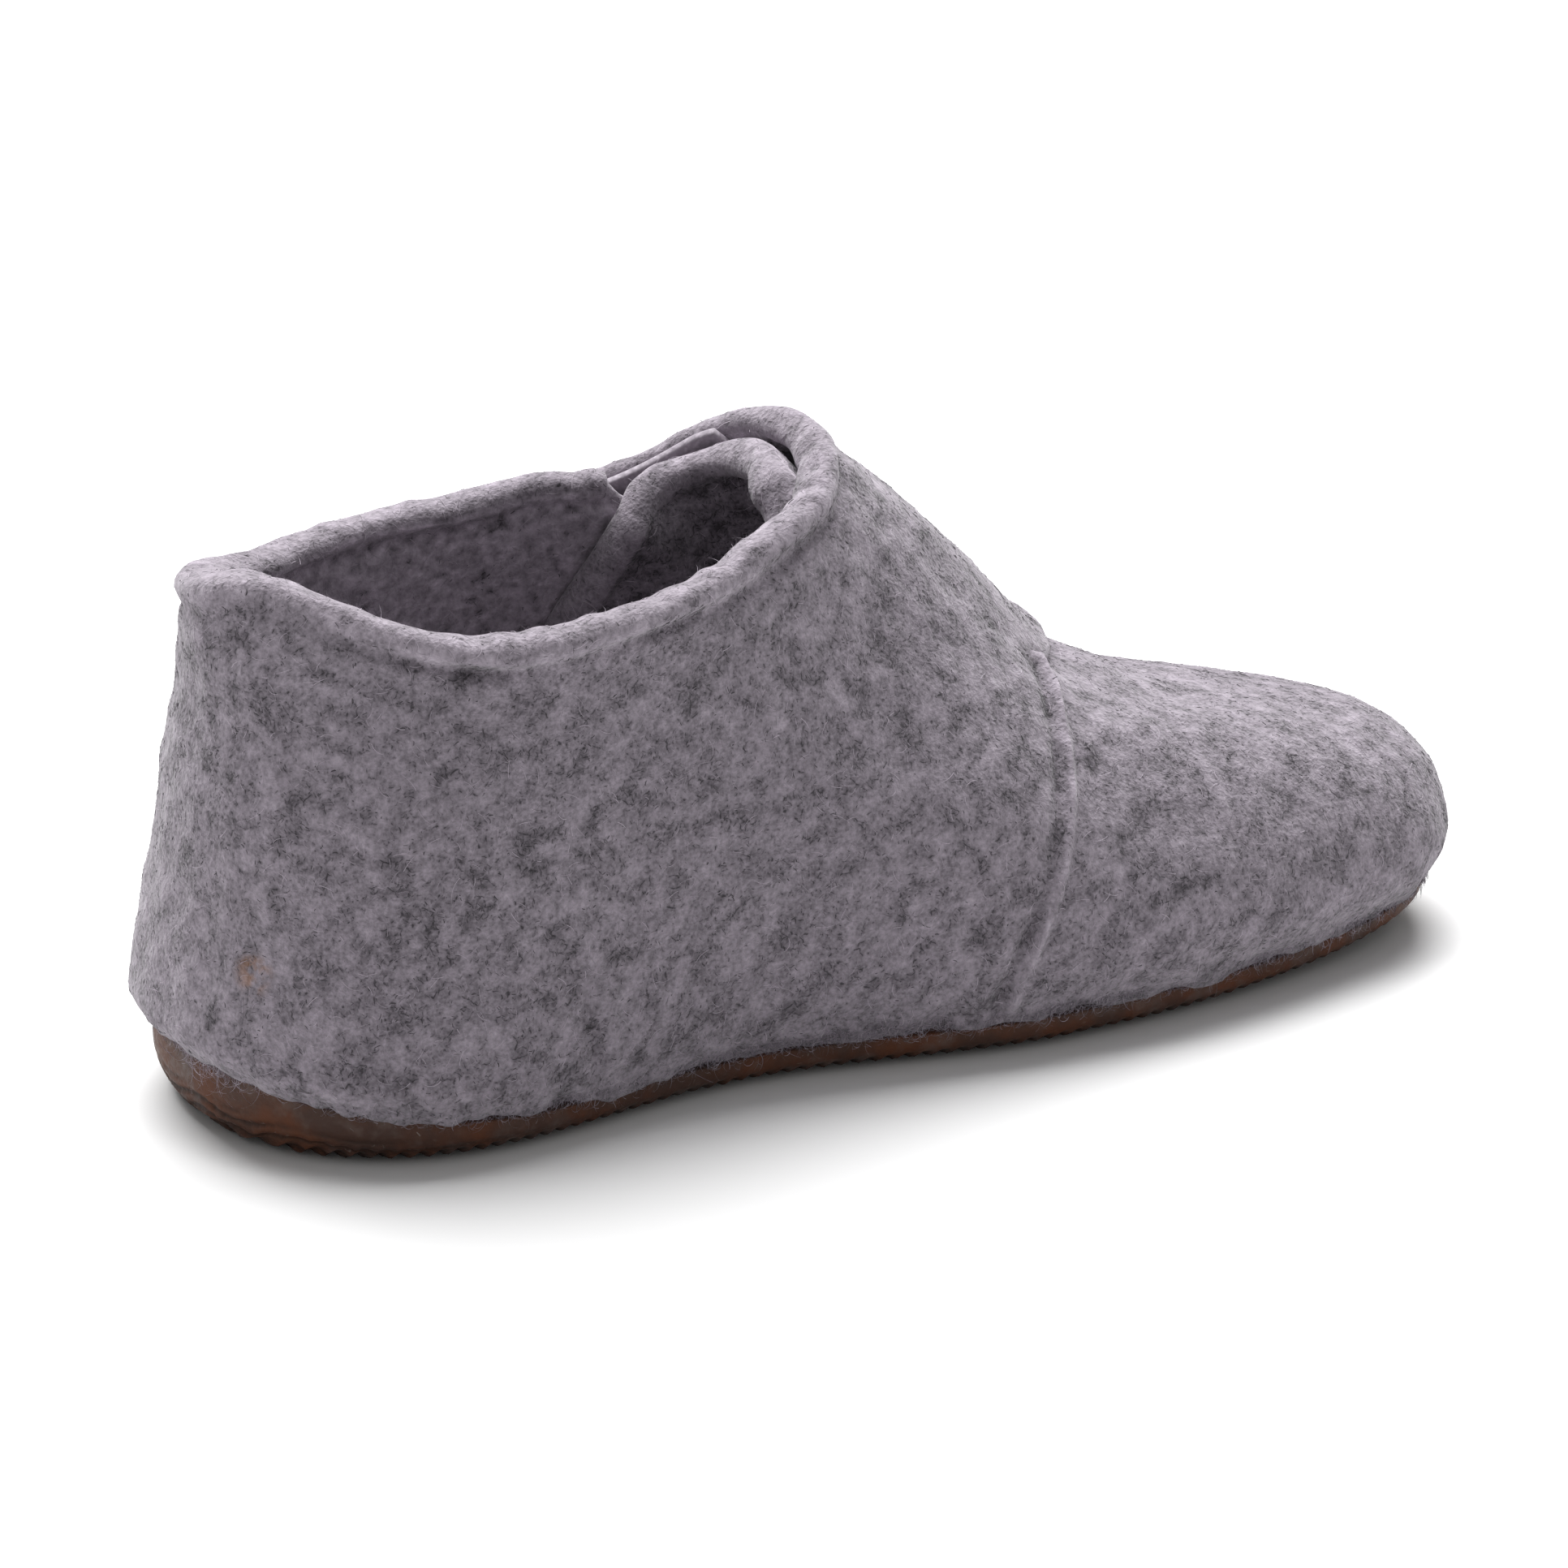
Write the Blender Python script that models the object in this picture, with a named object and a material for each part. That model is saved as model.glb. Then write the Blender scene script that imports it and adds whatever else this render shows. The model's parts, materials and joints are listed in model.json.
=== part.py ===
"""Baby slipper of thick wool felt on a thin rubber cup sole, closed by a hook-and-loop flap.

A left shoe, standing on its sole: +X points to the toe, +Y to the outer side, +Z up.
The origin lies on the floor, under the middle of the shoe. Sizes here are in
millimetres, and mesh_object() turns them into metres.
"""

import math
from typing import NamedTuple

import bmesh
import bpy
import numpy as np

MM = 0.001

# Driving dimensions
LENGTH = 150.0
BALL_WIDTH = 62.0
HEEL_HEIGHT = 60.0
WALL = 3.0
GAP = 0.3

# Plan curve of the last: the waist bows to the outer side and the toe swings to the inner side
WAIST_BOW = 1.5
WAIST_AT = 0.38
WAIST_SPAN = 0.22
TOE_SWING = 5.0
BALL_AT = 0.62

# How the rings close at the toe, and where along them their widths are given
END_BLUNTNESS = 0.85
WIDTH_STATIONS = (0.125, 0.375, 0.625, 0.875)

# Share of a ring's length over which its heel's lean fades
LEAN_SPAN = 0.3

# Mesh density round the last and between two rings
COLUMNS = 64
ROWS_PER_RING = 2
EDGE_ROUND = 1.1
EDGE_STEPS = 2
EDGE_ANGLE = 50.0

# Half the span, in radians and in rings, over which slopes are measured
SLOPE_STEP = 0.02

# Throat: the opening in front of the collar, from its inner edge to its outer edge, down to a ring
THROAT_RING = 5.5
THROAT_COLUMNS = (28, 42)

# Closure flap, in degrees from the toe line with the outer side positive, and in rings
FLAP_ROOT = -21.0
FLAP_END = 92.0
FLAP_CORNER = 12.0
FLAP_CORNER_POWER = 4
FLAP_RISEN = 40.0
FLAP_DIP_FROM = 0.0
FLAP_DIP_TO = 52.0
FLAP_DIP = 0.85
FLAP_DROP = 1.1
FLAP_DROP_FROM = 15.0
FLAP_DROP_TO = 95.0
FLAP_LOW = THROAT_RING + 0.06
FLAP_SETTLE = 1.8

# Tapes under the flap
TAPE = 1.0
HOOK_FROM = 33.0
LOOP_FROM = 60.0
TAPE_MARGIN = 4.0
TAPE_END = FLAP_END - FLAP_CORNER - TAPE_MARGIN
TAPE_MARGIN_LOW = 0.125
TAPE_MARGIN_HIGH = 0.03
TAPE_EDGE_ROUND = 0.2

# Tongue
TONGUE_THICK = 3.0
TONGUE_GAP = 0.5
TONGUE_LOW = 4.4
TONGUE_RISE = 0.18
TONGUE_NEAR = -34.0
TONGUE_FAR = 90.0
TONGUE_DROP = 3.2
TONGUE_DROP_FROM = 20.0
TONGUE_DROP_POWER = 2.2

# How far the tongue bulges into the throat, and the degrees at which that starts, is full, ebbs and ends
TONGUE_BULGE = 1.6
TONGUE_BULGE_SPAN = (-12.0, 14.0, 26.0, 50.0)

# Sole and footbed
TOE_SPRING = 2.5
SPRING_FROM = 30.0
FLOOR = 3.0
RIM_EXTRA = 0.5
INSOLE_THICK = 2.5


class Ring(NamedTuple):
    """One closed line round the last.

    back and front are percent of LENGTH from the heel. rear, side and fore are heights in
    percent of HEEL_HEIGHT, and climb says how late the line climbs to its ends. heel, waist,
    ball and toe are widths in percent of BALL_WIDTH. point says how pointed the heel is, and
    lean is its shift to the outer side in percent of BALL_WIDTH.
    """

    back: float
    front: float
    rear: float
    side: float
    fore: float
    climb: float
    heel: float
    waist: float
    ball: float
    toe: float
    point: float
    lean: float


# From the feather line, where felt meets rubber, up to the collar
RINGS = (
    # back, front, rear, side, fore, climb, heel, waist, ball, toe, point, lean
    Ring(1.0, 98.6, 15.8, 6.6, 9.0, 5, 77, 73, 89, 67, 0.85, 0),
    Ring(0.0, 100.0, 25.0, 16.5, 17.0, 4, 81, 79, 97, 75, 0.85, 0),
    Ring(0.8, 99.2, 39.0, 28.0, 27.5, 3, 79, 79.5, 94, 68, 0.85, 0),
    Ring(1.6, 95.5, 52.0, 38.5, 36.0, 2.5, 76, 79, 86, 55, 0.85, 0),
    Ring(2.25, 86.0, 64.0, 48.5, 42.5, 2.5, 72, 77, 79, 49, 0.87, 0.4),
    Ring(2.8, 73.0, 75.0, 60.0, 50.5, 2.5, 66, 75, 72, 52, 0.92, 1.2),
    Ring(3.1, 64.5, 85.0, 72.5, 68.0, 2.5, 58, 72, 66, 46, 1.0, 2.4),
    Ring(3.2, 57.5, 92.3, 83.0, 87.5, 2.5, 48, 69, 63, 42, 1.1, 3.9),
    Ring(3.2, 51.2, 98.5, 92.0, 104.0, 2.5, 39, 69, 63, 43, 1.15, 5.4),
)
COLLAR = len(RINGS) - 1


class SoleRing(NamedTuple):
    """One line round the rubber's outside: inset from the feather line, and share of the edge's height."""

    inset: float
    share: float


SOLE_RINGS = (
    SoleRing(inset=4.0, share=0.0),
    SoleRing(inset=2.4, share=0.07),
    SoleRing(inset=1.1, share=0.28),
    SoleRing(inset=0.3, share=0.6),
    SoleRing(inset=0.2, share=1.0),
)


def spline(values, at):
    """Curve through evenly spaced values, read at index at; both ends run on straight."""
    last = len(values) - 1
    i = int(min(max(math.floor(at), 0), last - 1))
    t = at - i
    a, b = values[i], values[i + 1]
    before = values[i - 1] if i > 0 else 2 * a - b
    after = values[i + 2] if i + 2 <= last else 2 * b - a
    slope_a = (b - before) / 2
    slope_b = (after - a) / 2
    bend = 3 * (b - a) - 2 * slope_a - slope_b
    twist = 2 * (a - b) + slope_a + slope_b
    return a + slope_a * t + bend * t**2 + twist * t**3


def ease(value, start, stop):
    """Rises smoothly from 0 at start to 1 at stop."""
    t = min(max((value - start) / (stop - start), 0.0), 1.0)
    return t * t * (3 - 2 * t)


def swing(x):
    """Sideways shift of the last's middle line."""
    share = x / LENGTH
    bow = WAIST_BOW * math.exp(-(((share - WAIST_AT) / WAIST_SPAN) ** 2))
    toe = TOE_SWING * max(0.0, (share - BALL_AT) / (1 - BALL_AT)) ** 2
    return bow - toe


def ring_point(ring, angle):
    """Point of a ring: angle 0 is the heel, a half turn the toe, and the inner side comes first."""
    along = (1 - math.cos(angle)) / 2
    x = LENGTH / 100 * (ring.back + (ring.front - ring.back) * along)
    widths = (ring.heel, ring.waist, ring.ball, ring.toe)
    blunts = (ring.point, ring.point, END_BLUNTNESS, END_BLUNTNESS)
    full = [w / (2 * math.sqrt(s * (1 - s))) ** b for w, s, b in zip(widths, WIDTH_STATIONS, blunts)]
    station = (along - WIDTH_STATIONS[0]) / (WIDTH_STATIONS[1] - WIDTH_STATIONS[0])
    half = BALL_WIDTH / 200 * spline(full, station)
    at_heel = math.cos(angle) > 0
    side = math.copysign(abs(math.sin(angle)) ** (ring.point if at_heel else END_BLUNTNESS), math.sin(angle))
    end = ring.rear if at_heel else ring.fore
    z = HEEL_HEIGHT / 100 * (ring.side + (end - ring.side) * abs(math.cos(angle)) ** ring.climb)
    lean = BALL_WIDTH / 100 * ring.lean * math.exp(-((along / LEAN_SPAN) ** 2))
    return np.array((x - LENGTH / 2, swing(x) + lean - half * side, z))


def felt_point(angle, level):
    """Point on the outside of the felt; level counts rings upwards from the feather line."""
    columns = zip(*RINGS)
    return ring_point(Ring(*(spline(column, level) for column in columns)), angle)


def felt_normal(angle, level):
    """Unit vector that points out of the felt."""
    around = felt_point(angle + SLOPE_STEP, level) - felt_point(angle - SLOPE_STEP, level)
    upward = felt_point(angle, level + SLOPE_STEP) - felt_point(angle, level - SLOPE_STEP)
    normal = np.cross(around, upward)
    return normal / np.linalg.norm(normal)


def lifted(degrees, level, lift):
    """Point at a distance from the felt's outside, at degrees from the toe line."""
    angle = math.pi + math.radians(degrees)
    return felt_point(angle, level) + felt_normal(angle, level) * lift


def upper_grid():
    """Rows of points on the felt's outside, from the feather line to the collar, and their levels."""
    levels = np.linspace(0, COLLAR, COLLAR * ROWS_PER_RING + 1)
    angles = np.linspace(0, 2 * math.pi, COLUMNS, endpoint=False)
    return [[felt_point(angle, level) for angle in angles] for level in levels], levels


def side_middle():
    """Middle of the shoe's width, which the curve of the last puts off the X axis."""
    sides = [place[1] for row in upper_grid()[0] for place in row]
    return (min(sides) + max(sides)) / 2


SIDE_MIDDLE = side_middle()


def material(name, colour, roughness):
    made = bpy.data.materials.new(name)
    made.use_nodes = True
    shader = made.node_tree.nodes["Principled BSDF"]
    shader.inputs["Base Color"].default_value = (*colour, 1.0)
    shader.inputs["Roughness"].default_value = roughness
    return made


def mesh_object(name, bm, finish):
    """Object of a mesh made in millimetres, its width centred on the origin."""
    bmesh.ops.translate(bm, vec=(0, -SIDE_MIDDLE, 0), verts=bm.verts)
    bmesh.ops.scale(bm, vec=(MM, MM, MM), verts=bm.verts)
    mesh = bpy.data.meshes.new(name)
    bm.to_mesh(mesh)
    bm.free()
    mesh.materials.append(finish)
    mesh.shade_smooth()
    made = bpy.data.objects.new(name, mesh)
    bpy.context.scene.collection.objects.link(made)
    return made


def thicken(sheet, thickness, edge_round):
    """Gives an open sheet its thickness, inwards, and rounds its edges."""
    wall = sheet.modifiers.new("thickness", "SOLIDIFY")
    wall.thickness = thickness * MM
    wall.offset = -1
    rounded = sheet.modifiers.new("edges", "BEVEL")
    rounded.width = edge_round * MM
    rounded.segments = EDGE_STEPS
    rounded.limit_method = "ANGLE"
    rounded.angle_limit = math.radians(EDGE_ANGLE)
    return sheet


def upper(felt):
    """Vamp, quarters and heel as one shell, open at the collar, the throat and underneath."""
    bm = bmesh.new()
    places, levels = upper_grid()
    rows = [[bm.verts.new(place) for place in row] for row in places]
    for low, high, level in zip(rows, rows[1:], levels):
        for j in range(COLUMNS):
            in_throat = THROAT_COLUMNS[0] <= j < THROAT_COLUMNS[1] and level >= THROAT_RING
            if not in_throat:
                k = (j + 1) % COLUMNS
                bm.faces.new((low[j], low[k], high[k], high[j]))
    loose = [vertex for vertex in bm.verts if not vertex.link_faces]
    bmesh.ops.delete(bm, geom=loose, context="VERTS")
    return thicken(mesh_object("upper", bm, felt), WALL, EDGE_ROUND)


def sheet_object(name, places, finish, thickness, edge_round):
    """Thick sheet through a grid of points, rows of equal length."""
    bm = bmesh.new()
    rows = [[bm.verts.new(place) for place in row] for row in places]
    for low, high in zip(rows, rows[1:]):
        for a, b, c, d in zip(low, low[1:], high[1:], high):
            bm.faces.new((a, b, c, d))
    return thicken(mesh_object(name, bm, finish), thickness, edge_round)


def flap_lift(degrees):
    """Height of the flap's outside over the upper's: flush at the root, over both tapes, lower past them."""
    risen = (WALL + 2 * TAPE + 4 * GAP) * ease(degrees, FLAP_ROOT, FLAP_RISEN)
    return risen - FLAP_SETTLE * ease(degrees, TAPE_END, FLAP_END)


def flap_levels(degrees):
    """Lower and upper edge of the flap; past the throat it covers the vamp and sinks below the collar."""
    low = FLAP_LOW - FLAP_DIP * ease(degrees, FLAP_DIP_FROM, FLAP_DIP_TO)
    high = COLLAR - FLAP_DROP * ease(degrees, FLAP_DROP_FROM, FLAP_DROP_TO)
    return low, high


def closure_flap(felt, columns=20, rows=8):
    places = []
    for t in np.linspace(0, 1, rows + 1):
        end = FLAP_END - FLAP_CORNER * abs(2 * t - 1) ** FLAP_CORNER_POWER
        row = []
        for degrees in np.linspace(FLAP_ROOT, end, columns + 1):
            low, high = flap_levels(degrees)
            row.append(lifted(degrees, low + (high - low) * t, flap_lift(degrees)))
        places.append(row)
    return sheet_object("closure_flap", places, felt, WALL, EDGE_ROUND)


def tape(name, finish, start, lift, columns=8, rows=4):
    """Tape pad inside the flap's outline, from an angle to near the flap's end."""
    places = []
    for t in np.linspace(0, 1, rows + 1):
        row = []
        for degrees in np.linspace(start, TAPE_END, columns + 1):
            low, high = flap_levels(degrees)
            share = TAPE_MARGIN_LOW + (1 - TAPE_MARGIN_LOW - TAPE_MARGIN_HIGH) * t
            row.append(lifted(degrees, low + (high - low) * share, lift(degrees)))
        places.append(row)
    return sheet_object(name, places, finish, TAPE, TAPE_EDGE_ROUND)


def hook_lift(degrees):
    return flap_lift(degrees) - WALL - 2 * GAP


def loop_lift(degrees):
    return GAP + TAPE


def tongue_top(degrees):
    """Level of the tongue's free edge: level with the collar over the instep, sinking on the outer side."""
    share = max(0.0, (degrees - TONGUE_DROP_FROM) / (TONGUE_FAR - TONGUE_DROP_FROM))
    return COLLAR + TONGUE_RISE - TONGUE_DROP * share**TONGUE_DROP_POWER


def tongue_lift(degrees, level):
    """Height of the tongue's outside over the upper's: clear of the quarters, and higher in the throat."""
    start, full, ebb, end = TONGUE_BULGE_SPAN
    bulge = ease(degrees, start, full) * (1 - ease(degrees, ebb, end)) * ease(level, THROAT_RING, COLLAR)
    return TONGUE_BULGE * bulge - WALL - TONGUE_GAP


def tongue(felt, columns=24, rows=8):
    """Felt sheet inside the throat, joined on the inner side and wider towards the vamp."""
    places = []
    for t in np.linspace(0, 1, rows + 1):
        row = []
        for degrees in np.linspace(TONGUE_NEAR, TONGUE_FAR, columns + 1):
            level = TONGUE_LOW + (tongue_top(degrees) - TONGUE_LOW) * t
            row.append(lifted(degrees, level, tongue_lift(degrees, level)))
        places.append(row)
    return sheet_object("tongue", places, felt, TONGUE_THICK, EDGE_ROUND)


def sprung(x):
    """Height of the tread over the floor."""
    return TOE_SPRING * max(0.0, (x - SPRING_FROM) / (LENGTH / 2 - SPRING_FROM)) ** 2


def foot_ring(inset, height):
    """Line round the sole, inset from the feather line; height takes x and the feather line's height."""
    places = []
    for angle in np.linspace(0, 2 * math.pi, COLUMNS, endpoint=False):
        edge = felt_point(angle, 0)
        along = felt_point(angle + SLOPE_STEP, 0) - felt_point(angle - SLOPE_STEP, 0)
        inward = np.array((-along[1], along[0])) / math.hypot(along[0], along[1])
        x, y = edge[:2] + inward * inset
        places.append((x, y, height(x, edge[2] - GAP)))
    return places


def loft(name, rings, finish):
    """Closed body through rings that run up one side and down the other, capped across its width."""
    bm = bmesh.new()
    loops = [[bm.verts.new(place) for place in ring] for ring in rings]
    for low, high in zip(loops, loops[1:]):
        for j in range(COLUMNS):
            k = (j + 1) % COLUMNS
            bm.faces.new((low[j], low[k], high[k], high[j]))
    half = COLUMNS // 2
    for loop in (loops[0], loops[-1]):
        bm.faces.new((loop[0], loop[1], loop[-1]))
        for j in range(1, half - 1):
            bm.faces.new((loop[j], loop[j + 1], loop[-j - 1], loop[-j]))
        bm.faces.new((loop[half - 1], loop[half], loop[half + 1]))
    bmesh.ops.recalc_face_normals(bm, faces=bm.faces)
    return mesh_object(name, bm, finish)


def outsole(rubber):
    """Cup sole: tread, rounded edge, rim under the felt's foot, and the floor inside."""
    rings = []
    for inset, share in SOLE_RINGS:
        rings.append(foot_ring(inset, lambda x, top, share=share: sprung(x) + share * (top - sprung(x))))
    rings.append(foot_ring(WALL + RIM_EXTRA, lambda x, top: top))
    rings.append(foot_ring(WALL + 2 * RIM_EXTRA, lambda x, top: sprung(x) + FLOOR))
    return loft("outsole", rings, rubber)


def insole(lining):
    inset = WALL + 2 * RIM_EXTRA + GAP
    under = foot_ring(inset, lambda x, top: sprung(x) + FLOOR + GAP)
    over = foot_ring(inset, lambda x, top: sprung(x) + FLOOR + GAP + INSOLE_THICK)
    return loft("insole", [under, over], lining)


def main():
    for old in list(bpy.data.objects):
        bpy.data.objects.remove(old)
    felt = material("grey_felt", (0.29, 0.28, 0.30), 0.95)
    lining = material("dark_felt", (0.18, 0.175, 0.19), 0.95)
    rubber = material("brown_rubber", (0.09, 0.035, 0.018), 0.5)
    webbing = material("grey_tape", (0.38, 0.37, 0.38), 0.7)
    upper(felt)
    tongue(felt)
    closure_flap(felt)
    tape("hook_tape", webbing, HOOK_FROM, hook_lift)
    tape("loop_tape", webbing, LOOP_FROM, loop_lift)
    outsole(rubber)
    insole(lining)


main()
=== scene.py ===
"""Looks of the felt baby slipper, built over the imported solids.

Sizes are in millimetres until mesh_piece() turns them into metres; camera, lamp and floor are in
metres. Degrees run round the last from the toe line, with the outer side positive, and levels count
the rings of the last upwards from the feather line, as in the part's source.
"""

import json
import math
from typing import NamedTuple

import bpy
import numpy as np
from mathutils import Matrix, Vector

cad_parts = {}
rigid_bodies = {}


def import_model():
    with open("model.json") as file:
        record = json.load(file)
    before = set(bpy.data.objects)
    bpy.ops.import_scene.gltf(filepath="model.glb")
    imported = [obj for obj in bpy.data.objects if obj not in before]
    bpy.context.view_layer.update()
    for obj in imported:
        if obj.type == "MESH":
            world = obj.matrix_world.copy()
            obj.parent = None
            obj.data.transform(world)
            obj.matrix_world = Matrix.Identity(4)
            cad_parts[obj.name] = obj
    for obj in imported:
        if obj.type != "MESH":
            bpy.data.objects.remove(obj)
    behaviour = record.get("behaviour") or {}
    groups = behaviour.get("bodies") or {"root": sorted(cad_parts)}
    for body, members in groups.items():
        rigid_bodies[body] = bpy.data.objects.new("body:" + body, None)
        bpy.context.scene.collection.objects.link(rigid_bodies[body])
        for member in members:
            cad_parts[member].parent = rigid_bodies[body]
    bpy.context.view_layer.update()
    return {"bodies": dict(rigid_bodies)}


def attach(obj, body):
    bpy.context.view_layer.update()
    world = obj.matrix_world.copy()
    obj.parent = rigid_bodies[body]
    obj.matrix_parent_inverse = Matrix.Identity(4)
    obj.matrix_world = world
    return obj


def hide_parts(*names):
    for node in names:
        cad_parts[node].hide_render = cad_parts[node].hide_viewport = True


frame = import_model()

MM = 0.001
ROOT = next(iter(frame["bodies"]))

# The last, as in the part's source
LENGTH = 150.0
BALL_WIDTH = 62.0
HEEL_HEIGHT = 60.0
WALL = 3.0
GAP = 0.3
WAIST_BOW = 1.5
WAIST_AT = 0.38
WAIST_SPAN = 0.22
TOE_SWING = 5.0
BALL_AT = 0.62
END_BLUNTNESS = 0.85
LEAN_SPAN = 0.3
WIDTH_STATIONS = (0.125, 0.375, 0.625, 0.875)
SIDE_MIDDLE = 0.344
SLOPE_STEP = 0.02
HEEL_AT = 180.0


class Ring(NamedTuple):
    """One closed line round the last, in percent of its length, heel height and ball width."""

    back: float
    front: float
    rear: float
    side: float
    fore: float
    climb: float
    heel: float
    waist: float
    ball: float
    toe: float
    point: float
    lean: float


RINGS = (
    # back, front, rear, side, fore, climb, heel, waist, ball, toe, point, lean
    Ring(1.0, 98.6, 15.8, 6.6, 9.0, 5, 77, 73, 89, 67, 0.85, 0),
    Ring(0.0, 100.0, 25.0, 16.5, 17.0, 4, 81, 79, 97, 75, 0.85, 0),
    Ring(0.8, 99.2, 39.0, 28.0, 27.5, 3, 79, 79.5, 94, 68, 0.85, 0),
    Ring(1.6, 95.5, 52.0, 38.5, 36.0, 2.5, 76, 79, 86, 55, 0.85, 0),
    Ring(2.25, 86.0, 64.0, 48.5, 42.5, 2.5, 72, 77, 79, 49, 0.87, 0.4),
    Ring(2.8, 73.0, 75.0, 60.0, 50.5, 2.5, 66, 75, 72, 52, 0.92, 1.2),
    Ring(3.1, 64.5, 85.0, 72.5, 68.0, 2.5, 58, 72, 66, 46, 1.0, 2.4),
    Ring(3.2, 57.5, 92.3, 83.0, 87.5, 2.5, 48, 69, 63, 42, 1.1, 3.9),
    Ring(3.2, 51.2, 98.5, 92.0, 104.0, 2.5, 39, 69, 63, 43, 1.15, 5.4),
)
COLLAR = len(RINGS) - 1

# Throat and closure flap: the near quarter runs on into the flap from the throat's inner corner
THROAT = 5.5
THROAT_FAR = 56.25
THROAT_NEAR = 346.0
FLAP_ROOT = 339.0
FLAP_END = 452.0
FLAP_CORNER = 12.0
FLAP_CORNER_POWER = 4
FLAP_RISEN = 400.0
FLAP_DIP = 0.85
FLAP_DIP_FROM = 360.0
FLAP_DIP_TO = 412.0
FLAP_DROP = 1.1
FLAP_DROP_FROM = 375.0
FLAP_DROP_TO = 455.0
FLAP_SETTLE = 1.8
FLAP_FREE = 15.0
FLAP_FREE_LEVELS = 0.9
FLAP_FRONT = 0.7
FLAP_THIN = 0.4
FLAP_LONGER = 0.28
FLAP_TRIM = 0.08
FLAP_TRIM_EBB = (384.0, 400.0)
FLAP_PUFF = 1.2
FLAP_PUFF_LEVEL = 5.9
FLAP_PUFF_LEVELS = 1.0

# The outer quarter's front corner, under the flap, is cut back and round
CORNER_BACK = 4.0
CORNER_BACK_SPAN = 40.0
CORNER_DROP = 0.15
CORNER_SPAN = 10.0


class Swell(NamedTuple):
    """A soft rise of the collar's edge, in levels, at degrees and over a span of degrees."""

    degrees: float
    span: float
    rise: float


COLLAR_SWELLS = (
    # degrees, span, rise
    Swell(72, 16, 0.14),
    Swell(130, 36, -0.30),
    Swell(210, 20, 0.58),
    Swell(250, 18, -0.20),
    Swell(310, 12, 0.10),
)

# Tapes under the flap
TAPE = 1.0
LOOP_TAPE = 1.5
HOOK_FROM = 393.0
LOOP_FROM = 420.0
TAPE_END = 436.0
TAPE_MARGIN_LOW = 0.125
TAPE_MARGIN_HIGH = -0.015

# Tongue
TONGUE_THICK = 3.0
TONGUE_GAP = 0.5
TONGUE_LOW = 4.4
TONGUE_RISE = 0.1
TONGUE_SETTLE = 0.3
TONGUE_SETTLE_SPAN = (0.0, 50.0)
TONGUE_NEAR = -56.0
TONGUE_SWELL = 0.5
TONGUE_SWELL_EBB = (24.0, 55.0)
TONGUE_TURN = 1.9
TONGUE_TURN_SPAN = (22.0, 38.0)
TONGUE_BEVEL = 1.5
TONGUE_BEVEL_SPAN = (40.0, 52.0)
TONGUE_BEVEL_DEPTH = 4.5
# Depths below the edge over which painted shade darkens the tongue's inside
TONGUE_PAINTED_SHADE_SPAN = (-1.0, 0.8)
TONGUE_TUCK = 0.5
TONGUE_FAR = 90.0
TONGUE_DROP = 2.5
TONGUE_DROP_FROM = 53.0
TONGUE_DROP_POWER = 1.3
TONGUE_BULGE = 4.6
TONGUE_BULGE_SPAN = (-5.0, 32.0, 48.0, 59.0)

# Sole and footbed
TOE_SPRING = 2.5
SPRING_FROM = 30.0
FLOOR = 3.0
RIM_EXTRA = 0.5
INSOLE_THICK = 2.5


class Lumps(NamedTuple):
    """Soft unevenness: about a wavelength, a height or a shade, a seed, and how many waves make it."""

    wavelength: float
    height: float
    seed: int
    waves: int = 24


# Hand of the felt: wide soft swells and small lumps
LUMP_SPREAD = (0.7, 1.5)
FELT_SWELLS = Lumps(22.0, 0.16, 0)
FELT_LUMPS = Lumps(5.0, 0.08, 1)

# Cut edges of the felt
RIM_BULGE = 1.2
RIM_LUMPS = Lumps(4.0, 0.06, 25)
RIM_STEPS = 8
RIM_SQUARENESS = 0.8
FOOT_BULGE = 0.2
FOOT_DROP = 0.15
FOOT_SWELLS = Lumps(8.0, 0.25, 27)
FOOT_LUMPS = Lumps(2.6, 0.125, 29)
FOOT_LEVELS = 0.4

# Collar lip: thicker than the wall, and fuller round the foot than on the flap's end
LIP_BULGE = 1.7
LIP_LUMPS = Lumps(15.0, 0.3, 21)
LIP_OUT = 0.75
LIP_OUT_AT_HEEL = 0.1
LIP_OUT_SPAN = 25.0
LIP_OUT_BELOW = 1.9
LIP_OUT_DEPTH = 1.1
LIP_IN = 1.3
LIP_IN_FROM = (62.0, 85.0)
LIP_HEEL = 4.3
LIP_HEEL_AT = 192.0
LIP_HEEL_SPAN = 25.0
LIP_DEPTH = 1.8
LIP_ON_FLAP = 0.3
LIP_EBB = (385.0, 420.0)
LINING_EBB = (365.0, 395.0)

# Soft crease that runs under the lip, outside and inside, with painted shade along it
LIP_CREASE = 0.45
LIP_CREASE_AT = 3.4
LIP_CREASE_AT_HEEL = 1.4
LIP_CREASE_LUMPS = Lumps(24.0, 0.35, 23)
LIP_CREASE_WIDTH = 1.1
LIP_CREASE_PAINTED_SHADE = 0.04


class Place(NamedTuple):
    """A place on the felt's outside."""

    degrees: float
    level: float


class SeamPoint(NamedTuple):
    """A place of the vamp seam: its level, and its degrees on the inner and on the outer side."""

    level: float
    inner: float
    outer: float


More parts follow.
